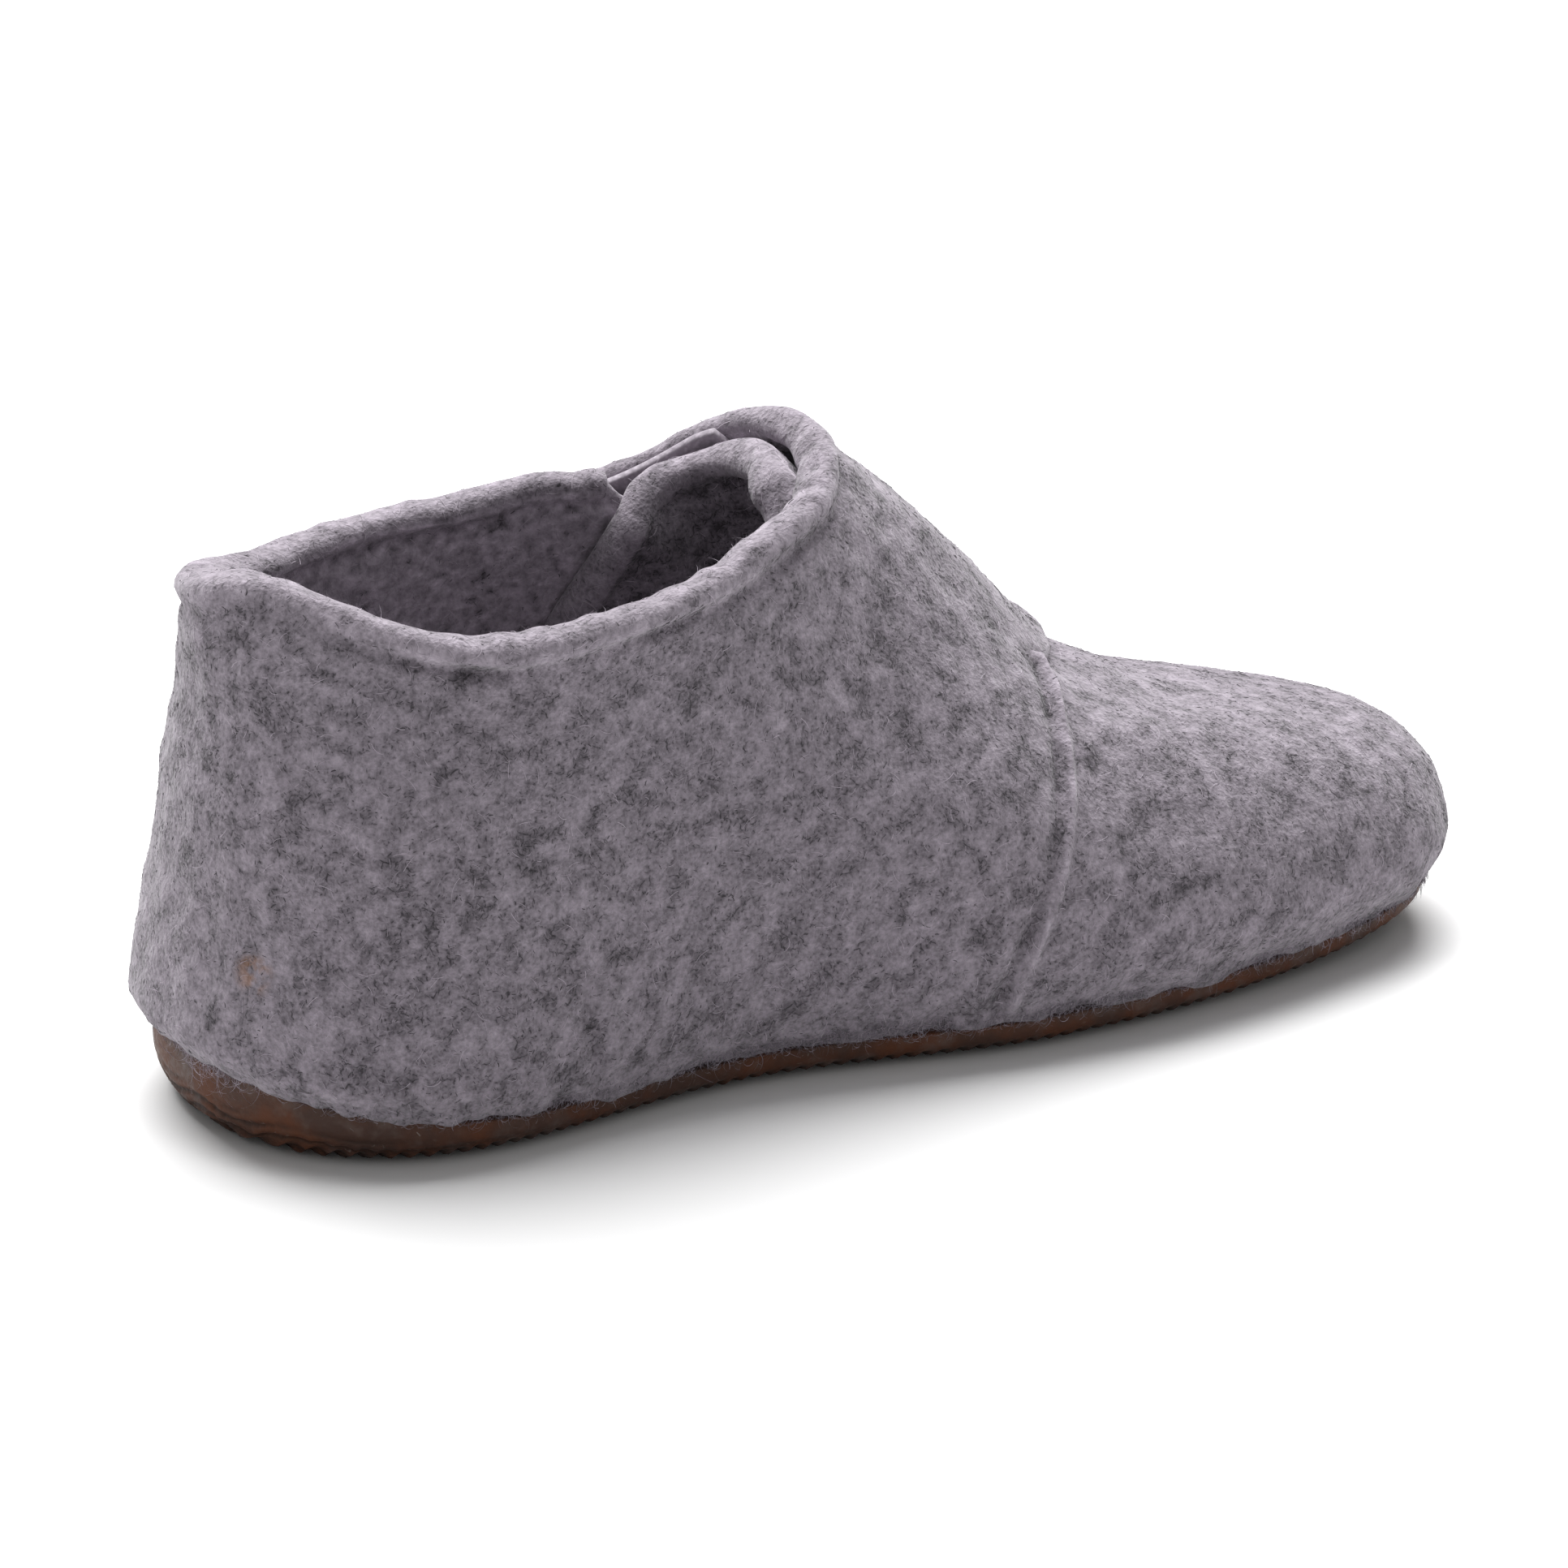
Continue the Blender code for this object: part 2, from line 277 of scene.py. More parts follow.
# Vamp seam, from the sole to the throat's corners
VAMP_SEAM = (
    # level, inner, outer
    SeamPoint(0.0, 279, 81),
    SeamPoint(0.9, 279, 81),
    SeamPoint(2.0, 282, 79),
    SeamPoint(3.1, 288, 76),
    SeamPoint(4.05, 300, 71),
    SeamPoint(4.7, 315, 66),
    SeamPoint(5.2, 331, 61),
    SeamPoint(THROAT, THROAT_NEAR, THROAT_FAR),
)
SEAM_RIDGE = 0.75
SEAM_WIDTH = 0.58
SEAM_TROUGH = 0.5
SEAM_TROUGH_AT = -1.5
SEAM_TROUGH_WIDTH = 0.9
# Painted highlight along the seam's ridge and painted shade in its trough
SEAM_PAINTED_LIGHT = 0.46
SEAM_TROUGH_PAINTED_SHADE = 0.17
SEAM_START = (0.0, 0.1)
SEAM_LUMPS = Lumps(6.0, 0.35, 11)

# Soft crease over the arch, on the inner side
ARCH_CREASE = (
    # degrees, level
    Place(232, 3.3),
    Place(234, 2.9),
    Place(236, 2.5),
    Place(237, 2.1),
    Place(239, 1.5),
    Place(240, 0.8),
    Place(240, 0.3),
)
CREASE_DEPTH = 0.45
CREASE_WIDTH = 1.1
CREASE_RIDGE = 0.35
CREASE_RIDGE_AT = 2.0
# Painted shade in the crease's trough and painted highlight on its ridge
CREASE_PAINTED_SHADE = 0.16
CREASE_START = (0.0, 0.3)
CREASE_END = (0.85, 1.0)

# Mottling of the felt, a lighter patch of wool at the heel, and painted light and shade on its rims, lining
# and tongue, in shares of the range from its dark to its light wool
CLOUDS = Lumps(5.0, 0.06, 41, waves=90)
MATS = Lumps(2.3, 0.07, 43, waves=90)
LINING_MATS = Lumps(1.5, 0.2, 45, waves=90)
# Painted highlight on the collar's lip
RIM_PAINTED_LIGHT = 0.22
# Painted highlight on all cut edges
EDGE_PAINTED_LIGHT = 0.13
# Painted light on the upper's inside
LINING_PAINTED_LIGHT = 0.4
# Painted highlight on the tongue's edge band, and painted shade on its inside
TONGUE_PAINTED_LIGHT = 0.6
TONGUE_PAINTED_SHADE = 0.12
HEEL_PATCH = Place(183, 1.2)
HEEL_PATCH_SIZE = 15.0
HEEL_PATCH_SHADE = 0.06


class Bulge(NamedTuple):
    """A soft rise of the felt, in millimetres, at degrees and a level and over a span of each."""

    height: float
    degrees: float
    span: float
    level: float
    levels: float


# The vamp is fuller in front of the flap; the heel bulges over the rubber and is flatter below the collar
BULGES = (
    # height, degrees, span, level, levels
    Bulge(1.8, 368, 25, 4.95, 0.35),
    Bulge(1.2, HEEL_AT, 50, 0.45, 0.4),
    Bulge(-1.0, HEEL_AT, 50, 5.2, 1.0),
)


def spline(values, at):
    """Curve through evenly spaced values, read at index at; both ends run on straight."""
    at = np.asarray(at, float)
    held = np.stack([np.broadcast_to(value, at.shape) for value in values])
    held = np.concatenate((2 * held[:1] - held[1:2], held, 2 * held[-1:] - held[-2:-1]))
    i = np.clip(np.floor(at), 0, len(values) - 2).astype(int)
    t = at - i
    before, a, b, after = (np.take_along_axis(held, (i + k)[None], 0)[0] for k in range(4))
    slope_a = (b - before) / 2
    slope_b = (after - a) / 2
    bend = 3 * (b - a) - 2 * slope_a - slope_b
    twist = 2 * (a - b) + slope_a + slope_b
    return a + slope_a * t + bend * t**2 + twist * t**3


def ease(value, start, stop):
    """Rises smoothly from 0 at start to 1 at stop."""
    t = np.clip((value - start) / (stop - start), 0, 1)
    return t * t * (3 - 2 * t)


def hump(distance, width):
    """Soft bell that is 1 at distance 0."""
    return np.exp(-((distance / width) ** 2))


def unit(vectors):
    """Vectors of length 1."""
    return vectors / np.linalg.norm(vectors, axis=-1, keepdims=True)


def swing(x):
    """Sideways shift of the last's middle line."""
    share = x / LENGTH
    bow = WAIST_BOW * hump(share - WAIST_AT, WAIST_SPAN)
    toe = TOE_SWING * np.maximum(0, (share - BALL_AT) / (1 - BALL_AT)) ** 2
    return bow - toe


def felt_points(degrees, level):
    """Points on the outside of the felt."""
    degrees, level = np.broadcast_arrays(np.asarray(degrees, float), np.asarray(level, float))
    angle = np.pi + np.radians(degrees)
    ring = Ring(*(spline(column, level) for column in zip(*RINGS)))
    along = (1 - np.cos(angle)) / 2
    x = LENGTH / 100 * (ring.back + (ring.front - ring.back) * along)
    widths = (ring.heel, ring.waist, ring.ball, ring.toe)
    blunts = (ring.point, ring.point, END_BLUNTNESS, END_BLUNTNESS)
    full = [w / (2 * math.sqrt(s * (1 - s))) ** b for w, s, b in zip(widths, WIDTH_STATIONS, blunts)]
    station = (along - WIDTH_STATIONS[0]) / (WIDTH_STATIONS[1] - WIDTH_STATIONS[0])
    half = BALL_WIDTH / 200 * spline(full, station)
    at_heel = np.cos(angle) > 0
    side = np.abs(np.sin(angle)) ** np.where(at_heel, ring.point, END_BLUNTNESS) * np.sign(np.sin(angle))
    end = np.where(at_heel, ring.rear, ring.fore)
    climb = np.abs(np.cos(angle)) ** ring.climb
    z = HEEL_HEIGHT / 100 * (ring.side + (end - ring.side) * climb)
    lean = BALL_WIDTH / 100 * ring.lean * hump(along, LEAN_SPAN)
    return np.stack((x - LENGTH / 2, swing(x) + lean - half * side - SIDE_MIDDLE, z), axis=-1)


def felt_slopes(degrees, level):
    """Change of place per degree and per level."""
    turn = math.degrees(SLOPE_STEP)
    around = felt_points(degrees + turn, level) - felt_points(degrees - turn, level)
    upward = felt_points(degrees, level + SLOPE_STEP) - felt_points(degrees, level - SLOPE_STEP)
    return around / (2 * turn), upward / (2 * SLOPE_STEP)


def felt_normals(degrees, level):
    """Directions straight out of the felt."""
    around, upward = felt_slopes(degrees, level)
    return unit(np.cross(around, upward))


def lumps(points, kind, seed=0):
    """Sum of plane waves of about a wavelength, in directions drawn from a seed."""
    draw = np.random.default_rng(kind.seed + seed)
    ways = unit(draw.normal(size=(kind.waves, 3)))
    turns = 2 * np.pi / (kind.wavelength * draw.uniform(*LUMP_SPREAD, kind.waves))
    phases = draw.uniform(0, 2 * np.pi, kind.waves)
    waves = np.sin(points @ (ways.T * turns) + phases)
    return kind.height * math.sqrt(2 / kind.waves) * waves.sum(axis=-1)


def line_through(degrees, level, steps=400):
    """Points and normals along a line on the felt through evenly counted places."""
    at = np.linspace(0, len(degrees) - 1, steps)
    degrees, level = spline(degrees, at), spline(level, at)
    return felt_points(degrees, level), felt_normals(degrees, level)


def line_distance(points, line, reach=8.0, batch=2000):
    """Distance of points from a line on the felt, and the share of the line at which they lie.

    The distance is positive on the toe's side, and reach where points are further off.
    """
    places, normals = line
    distance = np.full(len(points), reach)
    share = np.zeros(len(points))
    low, high = places.min(axis=0) - reach, places.max(axis=0) + reach
    near = np.flatnonzero(((points > low) & (points < high)).all(axis=1))
    ahead = unit(np.gradient(places, axis=0))
    across = unit(np.cross(ahead, normals))
    across *= np.sign(across[:, :1])
    for part in np.array_split(near, max(1, len(near) // batch)):
        offset = points[part, None] - places[None]
        closest = np.argmin((offset**2).sum(axis=2), axis=1)
        away = offset[np.arange(len(part)), closest]
        inside = (closest > 0) & (closest < len(places) - 1)
        slip = (away * ahead[closest]).sum(axis=1) * inside
        away = away - ahead[closest] * slip[:, None]
        side = np.sign((away * across[closest]).sum(axis=1))
        distance[part] = side * np.minimum(np.linalg.norm(away, axis=1), reach)
        share[part] = closest / (len(places) - 1)
    return distance, share


class Relief(NamedTuple):
    """What a feature does to the felt: height over the plain sheet, and painted light and shade."""

    height: np.ndarray
    shade: np.ndarray


def seam_relief(points):
    """Raised seam with a trough behind it, on both sides of the vamp, with a painted highlight on the ridge
    and painted shade in the trough.
    """
    height, shade = np.zeros((2, len(points)))
    level, inner, outer = zip(*VAMP_SEAM)
    for degrees in (inner, outer):
        distance, share = line_distance(points, line_through(degrees, level))
        ridge = hump(distance, SEAM_WIDTH)
        trough = hump(distance - SEAM_TROUGH_AT, SEAM_TROUGH_WIDTH)
        uneven = (1 + lumps(points, SEAM_LUMPS)) * ease(share, *SEAM_START)
        height += (SEAM_RIDGE * ridge - SEAM_TROUGH * trough) * uneven
        # painted highlight on the ridge, painted shade in the trough
        shade += (SEAM_PAINTED_LIGHT * ridge - SEAM_TROUGH_PAINTED_SHADE * trough) * uneven
    return Relief(height, shade)


def crease_relief(points):
    """Soft fold over the arch: a trough with a low ridge in front of it, with painted shade in the trough
    and a painted highlight on the ridge.
    """
    distance, share = line_distance(points, line_through(*zip(*ARCH_CREASE)))
    fold = CREASE_RIDGE * hump(distance - CREASE_RIDGE_AT, CREASE_WIDTH)
    fold -= CREASE_DEPTH * hump(distance, CREASE_WIDTH)
    fold *= ease(share, *CREASE_START) * (1 - ease(share, *CREASE_END))
    return Relief(fold, CREASE_PAINTED_SHADE * fold / CREASE_DEPTH)


def lip_share(degrees):
    """How full the collar's lip is: full round the foot, thin on the flap's end."""
    return 1 - (1 - LIP_ON_FLAP) * ease(degrees, *LIP_EBB)


def lip_depth(below):
    """Lip at depths below the felt's top: full at the top, gone under it."""
    return 1 - ease(below, LIP_BULGE, LIP_BULGE + LIP_DEPTH)


def collar_relief(degrees, below, points):
    """Lip and the uneven crease under it, outside and inside, at depths below the felt's top, with a painted
    highlight on the lip and painted shade in the crease.
    """
    uneven = 1 + lumps(points, LIP_LUMPS)
    deep = LIP_CREASE_AT + LIP_CREASE_AT_HEEL * hump(degrees - LIP_HEEL_AT, LIP_OUT_SPAN)
    deep = deep + lumps(points, LIP_CREASE_LUMPS)
    crease = hump(below - deep, LIP_CREASE_WIDTH) * uneven * lip_share(degrees)
    lip = lip_depth(below) * lip_share(degrees)
    # painted highlight on the lip, less painted shade along the crease under it
    shade = RIM_PAINTED_LIGHT * lip_depth(below) - LIP_CREASE_PAINTED_SHADE * crease
    lining = 1 - ease(degrees, *LINING_EBB)
    flare = LIP_OUT * lining * (1 - (1 - LIP_OUT_AT_HEEL) * hump(degrees - HEEL_AT, LIP_OUT_SPAN))
    roll = hump(below - LIP_OUT_BELOW, LIP_OUT_DEPTH) * lip_share(degrees)
    outside = Relief(flare * roll * uneven - LIP_CREASE * crease, shade)
    inside = Relief((LIP_IN * ease(degrees, *LIP_IN_FROM) * lip - LIP_CREASE * crease) * lining, shade)
    return outside, inside


def felt_unevenness(points, seed):
    """Hand of thick wool felt, drawn from a seed."""
    return lumps(points, FELT_SWELLS, seed) + lumps(points, FELT_LUMPS, seed)


def mottling(points):
    """Clouds and small mats of lighter and darker wool."""
    return lumps(points, CLOUDS) + lumps(points, MATS)


def grid_quads(numbers):
    """Faces of a grid of vertex numbers, rows upwards and columns along."""
    corners = (numbers[:-1, :-1], numbers[:-1, 1:], numbers[1:, 1:], numbers[1:, :-1])
    return np.stack(corners, axis=-1).reshape(-1, 4)


def edge_loops(quads):
    """Lines of vertices along a sheet's open edges, with the sheet on their left."""
    ahead = np.concatenate([quads[:, (k, (k + 1) % 4)] for k in range(4)])
    pairs = set(map(tuple, ahead.tolist()))
    after = {a: b for a, b in pairs if (b, a) not in pairs}
    loops = []
    while after:
        start, here = after.popitem()
        loop = [start]
        while here != start:
            loop.append(here)
            here = after.pop(here)
        loops.append(np.array(loop))
    return loops


def thick_sheet(outer, inner, normals, quads, bulge):
    """Points and faces of a body between two sheets with the same faces, its open edges rounded by bulge."""
    points = [outer, inner]
    faces = [quads, quads[:, ::-1] + len(outer)]
    count = 2 * len(outer)
    for loop in edge_loops(quads):
        ahead = np.roll(outer[loop], -1, axis=0) - np.roll(outer[loop], 1, axis=0)
        outward = unit(np.cross(ahead, normals[loop]))
        middle = (outer[loop] + inner[loop]) / 2
        rows = [loop]
        for step in range(1, RIM_STEPS + 1):
            turn = math.pi * step / (RIM_STEPS + 1)
            along = math.copysign(abs(math.cos(turn)) ** RIM_SQUARENESS, math.cos(turn))
            out = math.sin(turn) ** RIM_SQUARENESS
            row = middle + (outer[loop] - middle) * along + outward * bulge[loop, None] * out
            points.append(row)
            rows.append(count + np.arange(len(loop)))
            count += len(loop)
        rows.append(loop + len(outer))
        closed = np.column_stack((np.array(rows), np.array(rows)[:, 0]))
        faces.append(grid_quads(closed)[:, ::-1])
    return np.concatenate(points), faces


def add_values(piece, name, values):
    """Stores a value for each vertex, which materials read by its name."""
    stored = piece.data.attributes.new(name, "FLOAT", "POINT")
    stored.data.foreach_set("value", values.astype(np.float32))


def felt_shade(points, outer_shade, inner_shade):
    """Lightness for each vertex of a thick sheet: what its two sides have, and painted highlights on the
    rims, all mottled.
    """
    # painted highlight on every cut edge
    rims = np.full(len(points) - len(outer_shade) - len(inner_shade), EDGE_PAINTED_LIGHT)
    return np.concatenate((outer_shade, inner_shade, rims)) + mottling(points)


def placed(name, data):
    """New object in the scene."""
    made = bpy.data.objects.new(name, data)
    bpy.context.scene.collection.objects.link(made)
    return made


def mesh_piece(name, points, faces, finish, stands_for=()):
    """Smooth mesh object in metres that rides on the shoe and stands for CAD nodes."""
    mesh = bpy.data.meshes.new(name)
    mesh.from_pydata((points * MM).tolist(), [], [face for part in faces for face in part.tolist()])
    mesh.materials.append(finish)
    mesh.shade_smooth()
    piece = placed(name, mesh)
    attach(piece, ROOT)
    if stands_for:
        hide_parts(*stands_for)
    return piece


def flap_lift(degrees, level):
    """Height of the flap's outside over the upper's; near the throat's corner its lower edge is flush."""
    full = (WALL + 2 * TAPE + 4 * GAP) * ease(degrees, FLAP_ROOT, FLAP_RISEN)
    free = FLAP_FRONT * ease(degrees, THROAT_NEAR, THROAT_NEAR + FLAP_FREE)
    low = flap_levels(degrees)[0]
    risen = full * (free + (1 - free) * ease(level, low, low + FLAP_FREE_LEVELS))
    puff = FLAP_PUFF * ease(degrees, FLAP_ROOT, FLAP_DIP_FROM)
    puff = puff * hump(level - FLAP_PUFF_LEVEL, FLAP_PUFF_LEVELS)
    return risen + puff - FLAP_SETTLE * ease(degrees, TAPE_END, FLAP_END)


def flap_levels(degrees):
    """Lower and upper edge of the flap, past the throat's inner corner."""
    past = ease(degrees, THROAT_NEAR, FLAP_DROP_FROM)
    low = THROAT - FLAP_LONGER * past - FLAP_DIP * ease(degrees, FLAP_DIP_FROM, FLAP_DIP_TO)
    trim = FLAP_TRIM * past * (1 - ease(degrees, *FLAP_TRIM_EBB))
    high = COLLAR - trim - FLAP_DROP * ease(degrees, FLAP_DROP_FROM, FLAP_DROP_TO)
    return low, high


def levels_of(height, degrees, level):
    """Levels that a height in millimetres takes up at places on the felt."""
    return height / np.linalg.norm(felt_slopes(degrees, level)[1], axis=-1)


def graded(stretches):
    """Shares from 0 to 1 in stretches of even steps, each given by its end and its number of steps."""
    shares = [np.zeros(1)]
    for end, steps in stretches:
        shares.append(np.linspace(shares[-1][-1], end, steps + 1)[1:])
    return np.concatenate(shares)


# Steps of the felt's grid: fine beside the seams, and finer on the inner side than on the outer
QUARTER_STEPS = ((0.03, 14), (0.48, 105), (0.975, 225), (1.0, 36))
VAMP_STEPS = ((0.05, 30), (0.5, 62), (0.95, 46), (1.0, 14))
LOW_ROWS = 50
HIGH_STEPS = ((0.6, 12), (1.0, 15))
FLAP_COLUMNS = 120


def quarter_top(degrees):
    """Level of the quarters' top edge."""
    corner = THROAT_FAR + CORNER_BACK
    rise = sum(swell.rise * hump(degrees - swell.degrees, swell.span) for swell in COLLAR_SWELLS)
    return COLLAR + rise - CORNER_DROP * (1 - ease(degrees, corner, corner + CORNER_SPAN))


def felt_grids():
    """Degrees, levels and top levels of the felt's three grids: up to the throat, quarters, and flap."""
    at = np.linspace(0, len(VAMP_SEAM) - 1, LOW_ROWS)
    seam = SeamPoint(*(spline(column, at)[:, None] for column in zip(*VAMP_SEAM)))
    quarter = seam.outer + (seam.inner - seam.outer) * graded(QUARTER_STEPS)
    vamp = seam.inner + (360 + seam.outer - seam.inner) * graded(VAMP_STEPS)[1:-1]
    degrees = np.hstack((quarter, vamp))
    low = (degrees, seam.level + 0 * degrees, COLLAR + 0 * degrees)

    rise = graded(HIGH_STEPS)[:, None]
    cut = CORNER_BACK * (1 - ease(quarter[-1], THROAT_FAR, THROAT_FAR + CORNER_BACK_SPAN))
    degrees = quarter[-1] + cut * rise[1:]
    top = quarter_top(degrees)
    last = top - levels_of(LIP_BULGE, degrees, top - SLOPE_STEP)
    high = (degrees, THROAT + (last - THROAT) * rise[1:], top)

    end = FLAP_END - FLAP_CORNER * np.abs(2 * rise - 1) ** FLAP_CORNER_POWER
    degrees = THROAT_NEAR + (end - THROAT_NEAR) * np.linspace(0, 1, FLAP_COLUMNS)[1:]
    under, top = flap_levels(degrees)
    last = top - levels_of(rim_bulge(degrees), degrees, top - SLOPE_STEP)
    flap = (degrees, under + (last - under) * rise, top)
    return low, high, flap


def rim_bulge(degrees):
    """How far the collar's rounded rim stands over the sheet's last row."""
    return RIM_BULGE + (LIP_BULGE - RIM_BULGE) * lip_share(degrees)


def felt_shell(finish):
    """Vamp, quarters and heel, with the flap that the inner quarter runs on into, as one thick sheet."""
    grids = felt_grids()
    degrees, level, top = (np.concatenate([grid[k].ravel() for grid in grids]) for k in range(3))
    shapes = [grid[0].shape for grid in grids]
    firsts = np.cumsum([0] + [rows * columns for rows, columns in shapes])
    low, high, flap = (first + np.arange(r * c).reshape(r, c) for first, (r, c) in zip(firsts, shapes))
    high = np.vstack((low[-1:, : high.shape[1]], high))
    flap = np.hstack((high[:, -1:], flap))
    low = np.column_stack((low, low[:, 0]))
    quads = np.concatenate([grid_quads(numbers) for numbers in (low, high, flap)])

    above = np.arange(len(degrees)) >= firsts[1]
    on_flap = np.arange(len(degrees)) >= firsts[2]
    lift = np.where(above & (degrees > FLAP_ROOT), flap_lift(degrees, level), 0)
    base = felt_points(degrees, level)
    normals = felt_normals(degrees, level)
    below = (top - level) / levels_of(1.0, degrees, level)
    lip, lining = collar_relief(degrees, below, base)
    seam, crease = seam_relief(base), crease_relief(base)
    off_flap = seam.height + crease.height
    for rise in BULGES:
        beside = hump(degrees - rise.degrees, rise.span)
        off_flap += rise.height * hump(level - rise.level, rise.levels) * beside
    relief = felt_unevenness(base, seed=3) + lip.height + np.where(on_flap, 0, off_flap)
    outer = base + normals * (lift + relief)[:, None]
    foot = FOOT_DROP + lumps(base, FOOT_SWELLS) + lumps(base, FOOT_LUMPS)
    outer[:, 2] -= foot * (1 - ease(level, 0, FOOT_LEVELS))
    pressed = on_flap * (1 - ease(level, flap_levels(degrees)[0], THROAT + FLAP_FREE_LEVELS))
    wall = WALL * (1 - FLAP_THIN * pressed) + felt_unevenness(base, seed=5)
    inner = base + normals * (lift - wall - lining.height)[:, None]
    inner[:, 0] += LIP_HEEL * hump(degrees - LIP_HEEL_AT, LIP_HEEL_SPAN) * lip_depth(below)
    at_top = below < LIP_BULGE + LIP_DEPTH / 2
    bulge = np.where(at_top, rim_bulge(degrees), np.where(level <= 0, FOOT_BULGE, RIM_BULGE))
    bulge = bulge * (1 + lumps(base, RIM_LUMPS))
    points, faces = thick_sheet(outer, inner, normals, quads, bulge)
    piece = mesh_piece("felt_upper", points, faces, finish, ("upper", "closure_flap"))

    pale = np.linalg.norm(base - felt_points(*HEEL_PATCH), axis=1)
    # Painted light and shade of the lip, seam and crease, and a lighter patch of wool at the heel
    shade = lip.shade + np.where(on_flap, 0, seam.shade + crease.shade)
    shade += HEEL_PATCH_SHADE * hump(pale, HEEL_PATCH_SIZE)
    # The upper's inside is lightened with painted light, and mottled
    inner_shade = lining.shade + LINING_PAINTED_LIGHT + lumps(base, LINING_MATS)
    add_values(piece, "shade", felt_shade(points, shade, inner_shade))
    return piece


def lifted_sheet(degrees, level, lift, thickness, bulge, bevel=0.0):
    """Points and faces of a thick sheet over a grid of places, at a height over the felt's outside.

    bevel says how far the inner side stays below the outer one.
    """
    shape = degrees.shape
    degrees, level, lift, thickness, bevel = (
        np.broadcast_to(part, shape).ravel() for part in (degrees, level, lift, thickness, bevel)
    )
    base = felt_points(degrees, level)
    normals = felt_normals(degrees, level)
    outer = base + normals * lift[:, None]
    upward = unit(felt_slopes(degrees, level)[1])
    inner = base + normals * (lift - thickness)[:, None] - upward * bevel[:, None]
    quads = grid_quads(np.arange(len(base)).reshape(shape))
    return thick_sheet(outer, inner, normals, quads, np.full(len(base), bulge))


def tongue_top(degrees):
    """Level of the tongue's free edge: level with the collar over the instep, sinking on both sides."""
    share = np.maximum(0, (degrees - TONGUE_DROP_FROM) / (TONGUE_FAR - TONGUE_DROP_FROM))
    tuck = TONGUE_TUCK * ease(-degrees, 0, -TONGUE_NEAR)
    settle = TONGUE_SETTLE * ease(degrees, *TONGUE_SETTLE_SPAN)
    return COLLAR + TONGUE_RISE - settle - tuck - TONGUE_DROP * share**TONGUE_DROP_POWER


def tongue_lift(degrees, level):
    """Height of the tongue's outside over the upper's: clear of the quarters, and higher in the throat."""
    start, full, ebb, end = TONGUE_BULGE_SPAN
    bulge = ease(degrees, start, full) * (1 - ease(degrees, ebb, end)) * ease(level, THROAT, COLLAR)
    return TONGUE_BULGE * bulge - WALL - TONGUE_GAP


def felt_tongue(finish, columns=150, rows=80):
    """Tongue inside the throat, joined on the inner side, its free edge swollen like the collar's, with a
    painted highlight on its edge band and painted shade on its inside below the edge.
    """
    degrees, share = np.meshgrid(np.linspace(TONGUE_NEAR, TONGUE_FAR, columns), np.linspace(0, 1, rows))
    top = tongue_top(degrees)
    top = top - levels_of(LIP_BULGE, degrees, top - SLOPE_STEP)
    level = TONGUE_LOW + (top - TONGUE_LOW) * share
    below = (top - level) / levels_of(1.0, degrees, level)
    base = felt_points(degrees.ravel(), level.ravel())
    uneven = felt_unevenness(base, seed=7).reshape(level.shape)
    swell = TONGUE_SWELL + TONGUE_TURN * (1 - ease(degrees, *TONGUE_TURN_SPAN))
    swell = swell * (1 - ease(below, 0, LIP_DEPTH)) * (1 - ease(-degrees, *TONGUE_SWELL_EBB))
    lift = tongue_lift(degrees, level) + uneven / 2
    bevel = TONGUE_BEVEL * ease(degrees, *TONGUE_BEVEL_SPAN) * (1 - ease(below, 0, TONGUE_BEVEL_DEPTH))
    thickness = TONGUE_THICK + swell + uneven
    points, faces = lifted_sheet(degrees, level, lift, thickness, LIP_BULGE, bevel)
    piece = mesh_piece("felt_tongue", points, faces, finish, ("tongue",))
    # painted highlight on the edge band outside, painted shade on the inside below the edge
    painted_light_band = 1 - ease(below, 0, TONGUE_BEVEL_DEPTH).ravel()
    dark = ease(below, *TONGUE_PAINTED_SHADE_SPAN).ravel()
    inner_shade = TONGUE_PAINTED_LIGHT * (1 - dark) - TONGUE_PAINTED_SHADE * dark
    add_values(piece, "shade", felt_shade(points, TONGUE_PAINTED_LIGHT * painted_light_band, inner_shade))
    return piece


def tape(name, node, start, thickness, finish, lift=None, columns=60, rows=40):
    """Woven tape inside the flap's outline, at a height over the upper or against the flap's inside."""
    degrees, share = np.meshgrid(np.linspace(start, TAPE_END, columns), np.linspace(0, 1, rows))
    low, high = flap_levels(degrees)
    share = TAPE_MARGIN_LOW + (1 - TAPE_MARGIN_LOW - TAPE_MARGIN_HIGH) * share
    level = low + (high - low) * share
    if lift is None:
        lift = flap_lift(degrees, level) - WALL - GAP
    points, faces = lifted_sheet(degrees, level, lift, thickness, TAPE / 4)
    mesh_piece(name, points, faces, finish, (node,))


def sprung(x):
    """Height of the tread over the floor."""
    return TOE_SPRING * np.maximum(0, (x - SPRING_FROM) / (LENGTH / 2 - SPRING_FROM)) ** 2


# Profile of the rubber's edge: inset from the feather line, and share of the edge's height
SOLE_INSETS = (4.0, 2.4, 1.1, 0.3, 0.2)
SOLE_SHARES = (0.0, 0.07, 0.28, 0.6, 1.0)
SOLE_COLUMNS = 1100
SOLE_ROWS = 33
TREAD_PERIOD = 1.9
TREAD_DEPTH = 0.7
TREAD_FADE = 0.55
TREAD_SWAY = 0.12
TREAD_SWAY_LENGTH = 4.0
TREAD_FLATNESS = 0.6
HEEL_RIB = 0.35
HEEL_RIB_SWAY = 0.35
HEEL_RIB_EDGE = (0.0, 0.7)
HEEL_RIB_PERIOD = 1.6
HEEL_RIB_WAVE = 12.0
HEEL_RIB_SPAN = 50.0
HEEL_RIB_SHARES = (0.4, 0.65)
ACROSS = 14


